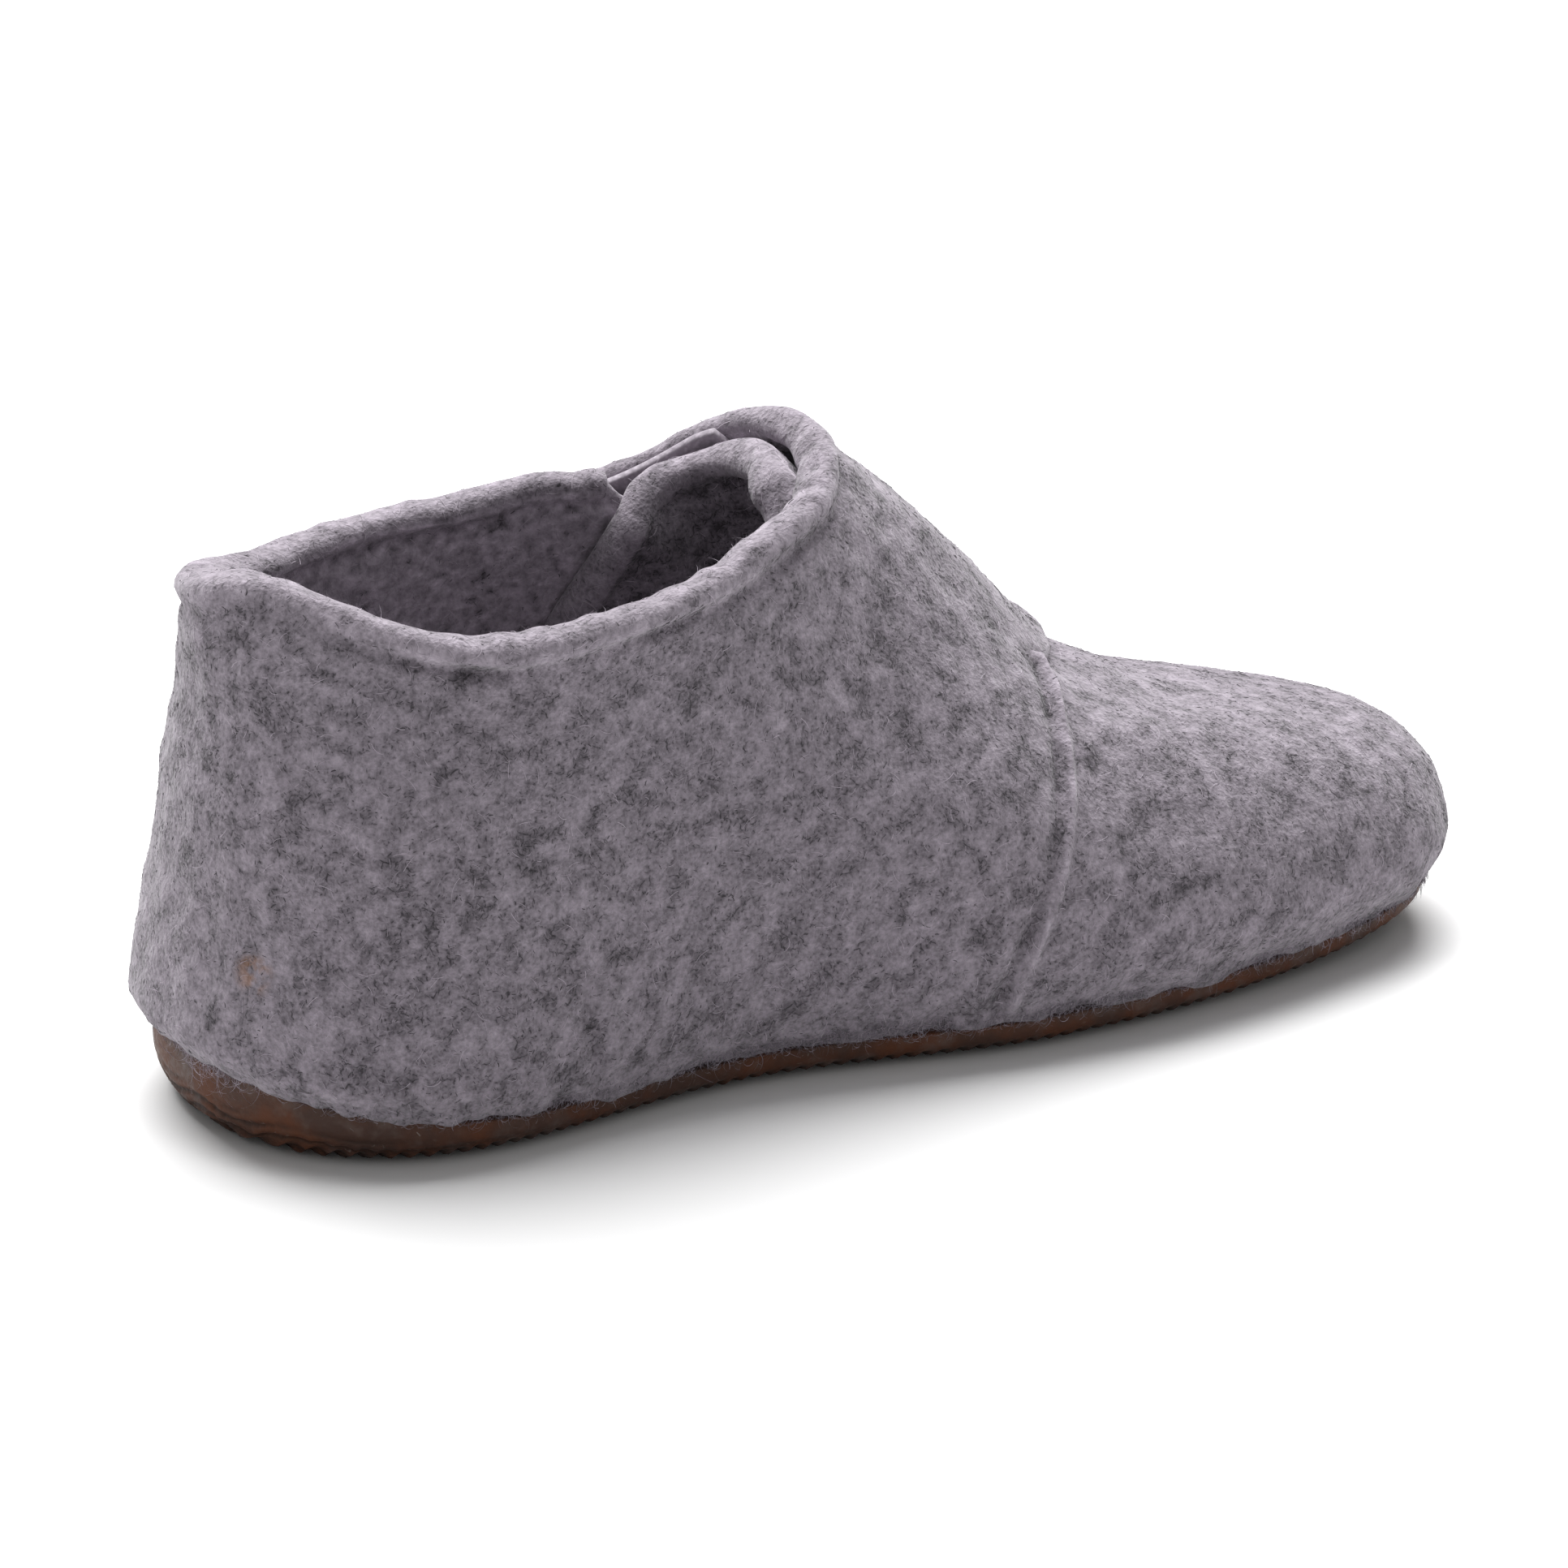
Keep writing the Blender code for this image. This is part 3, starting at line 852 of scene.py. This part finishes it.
def sole_degrees(columns, finer=8):
    """Degrees round the feather line at even steps of its length, from the heel."""
    fine = np.linspace(-HEEL_AT, HEEL_AT, finer * columns + 1)
    steps = np.linalg.norm(np.diff(felt_points(fine, 0.0), axis=0), axis=1)
    run = np.concatenate(([0], np.cumsum(steps)))
    return np.interp(np.arange(columns) / columns, run / run[-1], fine)


def sole_ring(degrees, inset):
    """Plan places inset from the feather line, and the feather line's height."""
    edge = felt_points(degrees, 0.0)
    around = felt_slopes(degrees, np.zeros(len(degrees)))[0]
    inward = unit(np.stack((-around[:, 1], around[:, 0]), axis=1))
    return edge[:, :2] + inward * np.broadcast_to(inset, len(degrees))[:, None], edge[:, 2] - GAP


def tread(plan):
    """Depth of the fine cross ribs under the sole."""
    wave = plan[:, 0] / TREAD_PERIOD + TREAD_SWAY * np.sin(plan[:, 1] / TREAD_SWAY_LENGTH)
    return TREAD_DEPTH * (0.5 - 0.5 * np.cos(2 * np.pi * wave)) ** TREAD_FLATNESS


def heel_ribs(degrees, plan, height, share):
    """Depth of the lens-like grooves low on the heel's back."""
    sway = HEEL_RIB_SWAY * np.sin(2 * np.pi * plan[:, 1] / HEEL_RIB_WAVE)
    groove = ease(np.sin(2 * np.pi * (height / HEEL_RIB_PERIOD + sway)), *HEEL_RIB_EDGE)
    return groove * hump(np.abs(degrees) - HEEL_AT, HEEL_RIB_SPAN) * (1 - ease(share, *HEEL_RIB_SHARES))


def capped_loft(rings, under, over):
    """Points and faces of a body through rings, closed across its width at heights from two functions."""
    points = np.concatenate(rings)
    numbers = np.arange(len(points)).reshape(len(rings), -1)
    faces = [grid_quads(np.column_stack((numbers, numbers[:, 0])))]
    half = numbers.shape[1] // 2
    share = np.linspace(0, 1, ACROSS + 1)[1:-1]
    for loop, height, order in ((numbers[0], under, 1), (numbers[-1], over, -1)):
        left, right = points[loop[1:half]], points[loop[:half:-1]]
        inside = (left[:, None] + (right - left)[:, None] * share[:, None]).reshape(-1, 3)
        inside[:, 2] = height(inside)
        new = len(points) + np.arange(len(inside)).reshape(half - 1, ACROSS - 1)
        points = np.concatenate((points, inside))
        runs = np.column_stack((loop[1:half], new, loop[:half:-1]))
        heel = [(loop[0], b, a)[::order] for a, b in zip(runs[0], runs[0][1:])]
        toe = [(loop[half], a, b)[::order] for a, b in zip(runs[-1], runs[-1][1:])]
        faces += [grid_quads(runs)[:, ::order], np.array(heel + toe)]
    return points, faces


def outsole(finish):
    """Cup sole: ribbed tread, rounded edge, and the rim and floor that felt and footbed stand on."""
    degrees = sole_degrees(SOLE_COLUMNS)
    at = np.linspace(0, len(SOLE_INSETS) - 1, SOLE_ROWS)
    rings, groove_shade = [], []
    for inset, share in zip(spline(SOLE_INSETS, at), np.clip(spline(SOLE_SHARES, at), 0, 1)):
        plan, top = sole_ring(degrees, inset)
        low = sprung(plan[:, 0])
        rib = tread(plan) * (1 - ease(share, 0.0, TREAD_FADE))
        height = low + share * (top - low)
        lens = heel_ribs(degrees, plan, height, share)
        plan = sole_ring(degrees, inset + HEEL_RIB * lens)[0]
        rings.append(np.column_stack((plan, height + rib)))
        groove_shade.append(np.maximum(rib / TREAD_DEPTH, lens))
    plan, top = sole_ring(degrees, WALL + RIM_EXTRA)
    rings.append(np.column_stack((plan, top)))
    plan = sole_ring(degrees, WALL + 2 * RIM_EXTRA)[0]
    rings.append(np.column_stack((plan, sprung(plan[:, 0]) + FLOOR)))
    points, faces = capped_loft(
        rings,
        lambda places: sprung(places[:, 0]) + tread(places),
        lambda places: sprung(places[:, 0]) + FLOOR,
    )
    piece = mesh_piece("rubber_sole", points, faces, finish, ("outsole",))
    # where the ribs and heel grooves lie, for painted shade in the rubber
    groove_shade = np.concatenate(groove_shade)
    add_values(piece, "groove", np.pad(groove_shade, (0, len(points) - len(groove_shade))))


# Profile of the footbed's edge: inset, and share of its thickness
FOOTBED_INSET = 2.8
FOOTBED_EDGE = ((0.9, 0.0), (0.2, 0.2), (0.0, 0.5), (0.2, 0.8), (0.9, 1.0))
FOOTBED_COLUMNS = 400


def footbed(finish):
    """Felt footbed that lies on the sole inside the upper."""
    degrees = sole_degrees(FOOTBED_COLUMNS)
    base = FLOOR + GAP
    rings = []
    for inset, share in FOOTBED_EDGE:
        plan = sole_ring(degrees, FOOTBED_INSET + inset)[0]
        rings.append(np.column_stack((plan, sprung(plan[:, 0]) + base + share * INSOLE_THICK)))
    points, faces = capped_loft(
        rings,
        lambda places: sprung(places[:, 0]) + base,
        lambda places: sprung(places[:, 0]) + base + INSOLE_THICK + felt_unevenness(places, seed=31),
    )
    piece = mesh_piece("felt_footbed", points, faces, finish, ("insole",))
    add_values(piece, "shade", mottling(points))


class Fibres(NamedTuple):
    """One kind of wool fibre: how many, the ranges of its sizes and tint, and its curl in radians.

    A free fibre stands up at one end, and the others lie down at both.
    """

    count: int
    length: tuple
    height: tuple
    width: tuple
    curl: float
    tint: tuple
    free: bool
    points: int


# count, length, height, width, curl, tint, free, points
NAP = Fibres(20000, (0.8, 2.4), (0.06, 0.22), (0.04, 0.08), 1.2, (0.3, 0.75), False, 5)
FLECKS = Fibres(33000, (0.3, 1.05), (0.07, 0.1), (0.09, 0.18), 1.2, (0.0, 0.18), False, 4)
STRAYS = Fibres(2600, (1.2, 3.6), (0.3, 1.1), (0.03, 0.05), 1.6, (0.45, 0.95), True, 6)
RIM_FUZZ = Fibres(5000, (0.5, 1.6), (0.2, 0.6), (0.04, 0.07), 1.6, (0.2, 0.8), True, 5)
FRINGE = Fibres(8000, (0.7, 2.4), (0.05, 0.3), (0.05, 0.085), 3.6, (0.15, 0.7), True, 8)
TUFT = Fibres(260, (2.5, 6.0), (0.05, 0.5), (0.045, 0.08), 5.0, (0.5, 0.95), True, 16)
NAP_PATCHES = 4.0
FLECK_PATCHES = -9.0
RIM_PATCHES = 12.0
PATCH_LIMIT = 0.22
CURL_SHARES = (0.3, 1.3)
FIBRE_ROOT = 0.06
FIBRE_TAPER = 0.5
FIBRE_RISE = 1.5
FLAT_TWIST = 0.9
FRINGE_LEVELS = 0.2
HANG = np.array((0.0, 0.0, -0.3))
TUFT_AT = 187.0
TUFT_SPREAD = 5.0
OVER_FLOOR = 0.1


def read_values(items, name, kind, width=1):
    """One property of all items of a mesh, as an array."""
    values = np.empty(width * len(items), kind)
    items.foreach_get(name, values)
    return values


def surface_places(pieces, count, patches, draw):
    """Random places on the faces of pieces, with the faces' normals.

    patches gathers them where the stored shade is light (lighter wool and painted highlights) if above 0,
    and where it is dark (darker wool and painted shade) if below.
    """
    corners, shade = [], []
    for piece in pieces:
        mesh = piece.data
        mesh.calc_loop_triangles()
        found = read_values(mesh.loop_triangles, "vertices", np.int32, 3)
        places = read_values(mesh.vertices, "co", np.float32, 3)
        corners.append(places.reshape(-1, 3)[found].reshape(-1, 3, 3) / MM)
        shade.append(read_values(mesh.attributes["shade"].data, "value", np.float32)[found[::3]])
    corners = np.concatenate(corners)
    a, b = corners[:, 1] - corners[:, 0], corners[:, 2] - corners[:, 0]
    normals = np.cross(a, b)
    area = np.linalg.norm(normals, axis=1)
    chance = area * np.exp(patches * np.clip(np.concatenate(shade), -PATCH_LIMIT, PATCH_LIMIT))
    pick = draw.choice(len(corners), count, p=chance / chance.sum())
    u, v = np.sqrt(draw.random(count)), draw.random(count)
    places = corners[pick, 0] + a[pick] * (u * (1 - v))[:, None] + b[pick] * (u * v)[:, None]
    return places, normals[pick] / area[pick, None]


def foot_places(degrees, draw):
    """Places low on the felt at degrees, with level normals, for wool that hangs over the rubber."""
    level = draw.uniform(0, FRINGE_LEVELS, len(degrees))
    normals = felt_normals(degrees, level) * (1, 1, 0)
    return felt_points(degrees, level), unit(normals)


def fibres(name, kind, places, normals, draw, finish, lean=0.0):
    """Curved ribbons that root in the felt; lean pulls their direction one way."""
    count = len(places)
    way = draw.normal(size=(count, 3)) + lean
    along = unit(way - normals * (way * normals).sum(axis=1, keepdims=True))
    across = np.cross(normals, along)
    length, height, width, tint = (
        draw.uniform(*bounds, count) for bounds in (kind.length, kind.height, kind.width, kind.tint)
    )
    curl = kind.curl * draw.uniform(*CURL_SHARES, count) * draw.choice((-1, 1), count)
    twist = draw.uniform(0, np.pi if kind.free else FLAT_TWIST, count)
    flat = across * np.cos(twist)[:, None] + normals * np.sin(twist)[:, None]
    start = 0.0 if kind.free else -0.5
    steps = np.linspace(0, 1, kind.points)
    rows = []
    for t in steps:
        rise = t**FIBRE_RISE if kind.free else 4 * t * (1 - t)
        turn = curl * (t + start)
        ahead = along * (length * np.sin(turn) / curl)[:, None]
        aside = across * (length * (1 - np.cos(turn)) / curl)[:, None]
        middle = places + ahead + aside + normals * (height * rise - FIBRE_ROOT)[:, None]
        half = flat * (width / 2 * (1 - FIBRE_TAPER * t))[:, None]
        rows += [middle - half, middle + half]
    points = np.stack(rows, axis=1).reshape(-1, 3)
    points[:, 2] = np.maximum(points[:, 2], OVER_FLOOR)
    first = np.arange(count)[:, None] * 2 * kind.points
    faces = [first + np.array((k, k + 1, k + 3, k + 2)) for k in range(0, 2 * kind.points - 2, 2)]
    piece = mesh_piece(name, points, faces, finish)
    tint = np.repeat(tint, 2 * kind.points)
    add_values(piece, "tint", tint)
    bake_map(piece.data, tint, np.tile(np.repeat(steps, 2), count), np.tile((-1, 1), count * kind.points))


# Ranges of the bake map across and up, and half the width of a strip
BAKE_ACROSS = (0.04, 0.96)
BAKE_UP = (0.03, 0.97)
BAKE_STRIP = 0.012


def bake_map(mesh, tint, along, side):
    """Map for baking fibres: all of one tint share a narrow strip, as their colour hangs on nothing else."""
    across = np.interp(tint, (0, 1), BAKE_ACROSS) + BAKE_STRIP * side
    places = np.column_stack((across, np.interp(along, (0, 1), BAKE_UP)))
    corners = read_values(mesh.loops, "vertex_index", np.int32)
    layer = mesh.uv_layers.new(name="OFBake")
    layer.uv.foreach_set("vector", places[corners].astype(np.float32).ravel())


# Strokes drawn by a material, in shares of their cell, width and length
STROKE_WANDER = 0.9
STROKE_WANDER_SHIFT = 5
STROKE_CORE = 0.4
STROKE_ENDS = (0.3, 0.5)

# Middle of a noise's range of colours
MIDDLE = (0.5, 0.5, 0.5)


class Nodes:
    """Short way to lay out the nodes of a material."""

    def __init__(self, name):
        self.material = bpy.data.materials.new(name)
        self.material.use_nodes = True
        self.tree = self.material.node_tree
        self.shader = self.tree.nodes["Principled BSDF"]
        self.place = self.tree.nodes.new("ShaderNodeTexCoord").outputs["Object"]
        self.normal = self.tree.nodes.new("ShaderNodeNewGeometry").outputs["Normal"]

    def feed(self, socket, value):
        if isinstance(value, bpy.types.NodeSocket):
            self.tree.links.new(value, socket)
        else:
            socket.default_value = value

    def node(self, kind, inputs, **settings):
        made = self.tree.nodes.new("ShaderNode" + kind)
        for key, value in settings.items():
            setattr(made, key, value)
        for key, value in inputs.items():
            self.feed(made.inputs[key], value)
        return made

    def set(self, **inputs):
        for key, value in inputs.items():
            self.feed(self.shader.inputs[key.replace("_", " ").title().replace("Ior", "IOR")], value)

    def value(self, name):
        """Value that is stored with the vertices."""
        return self.node("Attribute", {}, attribute_name=name).outputs["Fac"]

    def math(self, operation, a, b=0.0):
        return self.node("Math", {0: a, 1: b}, operation=operation).outputs[0]

    def vector(self, operation, a, b=(0.0, 0.0, 0.0), output="Vector"):
        return self.node("VectorMath", {0: a, 1: b}, operation=operation).outputs[output]

    def scaled(self, a, factor):
        return self.node("VectorMath", {0: a, "Scale": factor}, operation="SCALE").outputs[0]

    def remap(self, value, low, high, to_low=0.0, to_high=1.0):
        inputs = {"Value": value, "From Min": low, "From Max": high, "To Min": to_low, "To Max": to_high}
        return self.node("MapRange", inputs, interpolation_type="SMOOTHSTEP").outputs["Result"]

    def fade(self, value, low, high):
        """1 up to low, and 0 from high on."""
        return self.remap(value, low, high, 1.0, 0.0)

    def times(self, a, b):
        return self.math("MULTIPLY", a, b)

    def coat(self, colour, mask, strength, paint):
        """Paint over a colour where the mask is, as strongly as said."""
        return self.mix(self.times(mask, strength), colour, paint)

    def mix(self, factor, a, b, clamp=True):
        return self.node("Mix", {0: factor, 6: a, 7: b}, data_type="RGBA", clamp_factor=clamp).outputs[2]

    def noise(self, size, detail=2.0, roughness=0.5, shift=0.0, colour=False):
        """Noise whose features are about size millimetres wide."""
        place = self.vector("ADD", self.place, (shift, -shift, 2 * shift))
        inputs = {"Vector": place, "Scale": 1 / (size * MM), "Detail": detail, "Roughness": roughness}
        return self.node("TexNoise", inputs).outputs["Color" if colour else "Fac"]

    def strokes(self, size, width, length, shift):
        """Mask of short curved strokes that lie on the surface in all directions, one a cell."""
        wander = self.noise(STROKE_WANDER * size, 1.0, shift=shift + STROKE_WANDER_SHIFT, colour=True)
        wander = self.scaled(self.vector("SUBTRACT", wander, MIDDLE), size * MM)
        place = self.vector("ADD", self.vector("ADD", self.place, (shift,) * 3), wander)
        cell = self.node("TexVoronoi", {"Vector": place, "Scale": 1 / (size * MM)})
        offset = self.on_surface(self.vector("SUBTRACT", place, cell.outputs["Position"]))
        way = self.vector("SUBTRACT", cell.outputs["Color"], MIDDLE)
        way = self.vector("NORMALIZE", self.on_surface(way))
        along = self.math("ABSOLUTE", self.vector("DOT_PRODUCT", offset, way, "Value"))
        across = self.vector("LENGTH", self.vector("CROSS_PRODUCT", offset, way), output="Value")
        inside = self.fade(across, STROKE_CORE * width * MM, width * MM)
        return self.times(inside, self.fade(along, *(end * length * MM for end in STROKE_ENDS)))

    def on_surface(self, vector):
        """Part of a vector that lies along the surface."""
        height = self.vector("DOT_PRODUCT", vector, self.normal, "Value")
        return self.vector("SUBTRACT", vector, self.scaled(self.normal, height))

    def bump(self, height, distance, strength):
        inputs = {"Height": height, "Distance": distance * MM, "Strength": strength}
        return self.node("Bump", inputs).outputs[0]


def grey(value, tint=(1.0, 0.885, 1.02)):
    """Colour of undyed grey wool at a lightness."""
    return (*(value * part for part in tint), 1.0)


# Felt material: how much mats and grain change its tone and height, and its dark flecks
MAT_CONTRAST = 0.95
GRAIN_CONTRAST = 1.0
MAT_HEIGHT = 0.8
GRAIN_HEIGHT = 0.5
FLECK_TONES = (0.3, 0.55)
FLECK_STRENGTH = 0.7
FLECK_SHADE = 0.4


def felt_finish(name, dark, light, stained=False):
    """Mottled wool felt: stored shade by place, with mottling and painted light and shade, then mats, grain,
    dark flecks, and a soft sheen.
    """
    nodes = Nodes(name)
    mats = nodes.noise(size=1.7, detail=3.0, roughness=0.6, shift=0.3)
    grain = nodes.noise(size=0.5, detail=2.0, roughness=0.6, shift=0.7)
    mottle = nodes.math("ADD", nodes.times(mats, MAT_CONTRAST), nodes.times(grain, GRAIN_CONTRAST))
    # the stored shade holds mottling and painted light and shade
    tone = nodes.math("ADD", nodes.value("shade"), mottle)
    tone = nodes.math("ADD", tone, 0.5 - (MAT_CONTRAST + GRAIN_CONTRAST) / 2)
    colour = nodes.mix(nodes.math("MAXIMUM", tone, 0.0), grey(dark), grey(light), clamp=False)
    strokes = nodes.strokes(size=1.1, width=0.1, length=1.7, shift=0.1)
    fleck = nodes.times(strokes, nodes.fade(tone, *FLECK_TONES))
    colour = nodes.coat(colour, fleck, FLECK_STRENGTH, grey(FLECK_SHADE * dark))
    if stained:
        colour = stain(nodes, colour)
    height = nodes.math("ADD", nodes.times(grain, GRAIN_HEIGHT), nodes.times(mats, MAT_HEIGHT))
    nodes.set(base_color=colour, roughness=0.95, specular_ior_level=0.1, sheen_weight=0.25)
    nodes.set(sheen_roughness=0.5, normal=nodes.bump(height, distance=0.5, strength=0.8))
    return nodes.material


STAIN = Place(-164.0, 1.8)
STAIN_SIZE = 3.0
STAIN_CORE = 0.3
STAIN_BLOTCHES = (0.38, 0.62)
STAIN_STRENGTH = 0.55
STAIN_COLOUR = (0.25, 0.12, 0.05, 1.0)


def stain(nodes, colour):
    """Small rusty mark low on the heel."""
    place = felt_points(STAIN.degrees, STAIN.level) * MM
    away = nodes.vector("DISTANCE", nodes.place, tuple(place), "Value")
    mark = nodes.fade(away, STAIN_CORE * STAIN_SIZE * MM, STAIN_SIZE * MM)
    mark = nodes.times(mark, nodes.remap(nodes.noise(size=1.6, detail=3.0, shift=0.9), *STAIN_BLOTCHES))
    return nodes.coat(colour, mark, STAIN_STRENGTH, STAIN_COLOUR)


FIBRE_DARK = 0.04
FIBRE_LIGHT = 0.6


def fibre_finish(name):
    """Single wool fibres, from near black to pale grey by their tint."""
    nodes = Nodes(name)
    colour = nodes.mix(nodes.value("tint"), grey(FIBRE_DARK), grey(FIBRE_LIGHT))
    nodes.set(base_color=colour, roughness=0.8, specular_ior_level=0.2, sheen_weight=0.2)
    return nodes.material


# Rubber: colours, how strongly they cover, and the ranges of noise that they begin and end at
RUBBER_DARK = (0.058, 0.030, 0.022, 1)
RUBBER_LIGHT = (0.100, 0.036, 0.017, 1)
RUBBER_CLOUDS = (0.35, 0.7)
DULL_COLOUR = (0.12, 0.09, 0.08, 1)
DULL_PATCHES = (0.5, 0.7)
DULL_STRENGTH = 0.5
# Painted shade in the tread ribs and heel grooves
GROOVE_SHADE_COLOUR = (0.012, 0.006, 0.004, 1)
GROOVE_SHADE_STRENGTH = 0.75
DUST_COLOUR = (0.30, 0.27, 0.25, 1)
DUST_PATCHES = (0.52, 0.65)
DUST_STRENGTH = 0.4
GLOSS_NOISE = (0.7, 1.3)
GLOSS_RANGE = (0.4, 0.65)


def rubber_finish(name):
    """Brown crepe rubber: cloudy, satin, with painted shade in the ribs, dull patches and pale specks of
    dust.
    """
    nodes = Nodes(name)
    cloud = nodes.noise(size=7.0, detail=3.0, roughness=0.6)
    grain = nodes.noise(size=0.5, detail=2.0, roughness=0.6, shift=0.2)
    relief = nodes.math("ADD", cloud, grain)
    colour = nodes.mix(nodes.remap(cloud, *RUBBER_CLOUDS), RUBBER_DARK, RUBBER_LIGHT)
    dull = nodes.noise(size=4.0, detail=3.0, roughness=0.6, shift=0.8)
    dull = nodes.remap(dull, *DULL_PATCHES)
    colour = nodes.coat(colour, dull, DULL_STRENGTH, DULL_COLOUR)
    # painted shade in the ribs and grooves
    colour = nodes.coat(colour, nodes.value("groove"), GROOVE_SHADE_STRENGTH, GROOVE_SHADE_COLOUR)
    dust = nodes.strokes(size=2.6, width=0.1, length=0.8, shift=0.6)
    dust = nodes.times(dust, nodes.remap(nodes.noise(size=5.0, detail=2.0, shift=0.5), *DUST_PATCHES))
    colour = nodes.coat(colour, dust, DUST_STRENGTH, DUST_COLOUR)
    gloss = nodes.remap(relief, *GLOSS_NOISE, *GLOSS_RANGE)
    nodes.set(base_color=colour, roughness=gloss, specular_ior_level=0.18)
    nodes.set(normal=nodes.bump(relief, distance=0.12, strength=0.5))
    return nodes.material


TAPE_GREYS = (0.30, 0.36)
WEAVE_GREY = 0.27
WEAVE_SIZE = 0.45
WEAVE_EDGE = (0.2, 0.7)
WEAVE_HEIGHT = -0.8


def tape_finish(name):
    """Pale woven tape with fine rows of hooks."""
    nodes = Nodes(name)
    rows = nodes.node("TexWave", {"Vector": nodes.place, "Scale": 350.0, "Distortion": 1.5, "Detail": 1.0})
    weave = nodes.node("TexVoronoi", {"Vector": nodes.place, "Scale": 1 / (WEAVE_SIZE * MM)})
    weave = weave.outputs["Distance"]
    colour = nodes.mix(rows.outputs["Fac"], *(grey(value) for value in TAPE_GREYS))
    colour = nodes.mix(nodes.remap(weave, *WEAVE_EDGE), colour, grey(WEAVE_GREY))
    height = nodes.math("ADD", rows.outputs["Fac"], nodes.times(weave, WEAVE_HEIGHT))
    nodes.set(base_color=colour, roughness=0.6, specular_ior_level=0.3)
    nodes.set(normal=nodes.bump(height, distance=0.1, strength=0.4))
    return nodes.material


# The photo's camera: angles in degrees, and the point that it aims at
AZIMUTH = -29.4
ELEVATION = 21.5
DISTANCE = 1.5
AIM = Vector((-0.0012, -0.00034, 0.0243))
SENSOR = 36.0
PIXELS = 1932
PIXELS_PER_MM = 11.61

# Studio: floor, surrounding light, and a soft box above and behind the shoe
FLOOR_HALF = 5.0
FLOOR_COLOUR = (0.8, 0.8, 0.8, 1)
FLOOR_NOISE = (0.3, 0.7)
FLOOR_ROUGHNESS = (0.7, 0.9)
WORLD_STRENGTH = 0.39
LAMP_PLACE = Vector((0.2, 0.72, 1.2))
LAMP_SIZE = 1.5
LAMP_WATTS = 57.0


def photo_camera():
    """Camera at the photo's angle and scale."""
    turn, rise = math.radians(AZIMUTH), math.radians(ELEVATION)
    back = Vector((math.sin(turn) * math.cos(rise), -math.cos(turn) * math.cos(rise), math.sin(rise)))
    data = bpy.data.cameras.new("photo_camera")
    data.sensor_width = SENSOR
    data.lens = PIXELS_PER_MM * DISTANCE / MM * SENSOR / PIXELS
    camera = placed("photo_camera", data)
    camera.location = AIM + back * DISTANCE
    camera.rotation_euler = (-back).to_track_quat("-Z", "Y").to_euler()
    bpy.context.scene.camera = camera


def soft_box():
    """Square area light that faces the shoe."""
    data = bpy.data.lights.new("top_box", "AREA")
    data.size = LAMP_SIZE
    data.energy = LAMP_WATTS
    lamp = placed("top_box", data)
    lamp.location = LAMP_PLACE
    lamp.rotation_euler = (AIM - LAMP_PLACE).to_track_quat("-Z", "Y").to_euler()


def studio():
    """Pale floor and soft light from above."""
    nodes = Nodes("pale_floor")
    roughness = nodes.remap(nodes.noise(size=40.0), *FLOOR_NOISE, *FLOOR_ROUGHNESS)
    nodes.set(base_color=FLOOR_COLOUR, roughness=roughness)
    mesh = bpy.data.meshes.new("floor")
    corners = [(x * FLOOR_HALF, y * FLOOR_HALF, 0) for x, y in ((-1, -1), (1, -1), (1, 1), (-1, 1))]
    mesh.from_pydata(corners, [], [(0, 1, 2, 3)])
    mesh.materials.append(nodes.material)
    floor = placed("floor", mesh)
    world = bpy.data.worlds.new("studio")
    world.use_nodes = True
    light = world.node_tree.nodes["Background"].inputs
    light["Strength"].default_value = WORLD_STRENGTH
    light["Color"].default_value = (1, 1, 1, 1)
    bpy.context.scene.world = world
    soft_box()
    bpy.context.scene.view_settings.view_transform = "Standard"


def fuzz(pieces, finish, seed=5):
    """Loose wool on the felt: lying nap, dark flecks, hairs that stand off, and wool over the rubber."""
    draw = np.random.default_rng(seed)
    kinds = (
        ("wool_nap", NAP, NAP_PATCHES),
        ("wool_flecks", FLECKS, FLECK_PATCHES),
        ("wool_strays", STRAYS, 0.0),
        ("wool_rim_fuzz", RIM_FUZZ, RIM_PATCHES),
    )
    for name, kind, patches in kinds:
        places, normals = surface_places(pieces, kind.count, patches, draw)
        fibres(name, kind, places, normals, draw, finish)
    around = sole_degrees(FRINGE.count) + draw.normal(size=FRINGE.count)
    fibres("wool_fringe", FRINGE, *foot_places(around, draw), draw, finish, HANG)
    tuft = draw.normal(TUFT_AT, TUFT_SPREAD, TUFT.count)
    fibres("wool_tuft", TUFT, *foot_places(tuft, draw), draw, finish, HANG)


def main():
    """Camera, studio, materials, and the pieces of the shoe."""
    photo_camera()
    studio()
    felt = felt_finish("grey_felt_nap", dark=0.05, light=0.36, stained=True)
    # Darker copy of the felt for the footbed: painted shade for the inside of the shoe
    lining = felt_finish("shaded_felt_nap", dark=0.05, light=0.22)
    webbing = tape_finish("woven_tape")
    shell = felt_shell(felt)
    tongue = felt_tongue(felt)
    tape("woven_hook_tape", "hook_tape", HOOK_FROM, TAPE, webbing)
    tape("woven_loop_tape", "loop_tape", LOOP_FROM, LOOP_TAPE, webbing, lift=GAP + LOOP_TAPE)
    outsole(rubber_finish("brown_crepe_rubber"))
    footbed(lining)
    fuzz([shell, tongue], fibre_finish("wool_fibres"))


main()
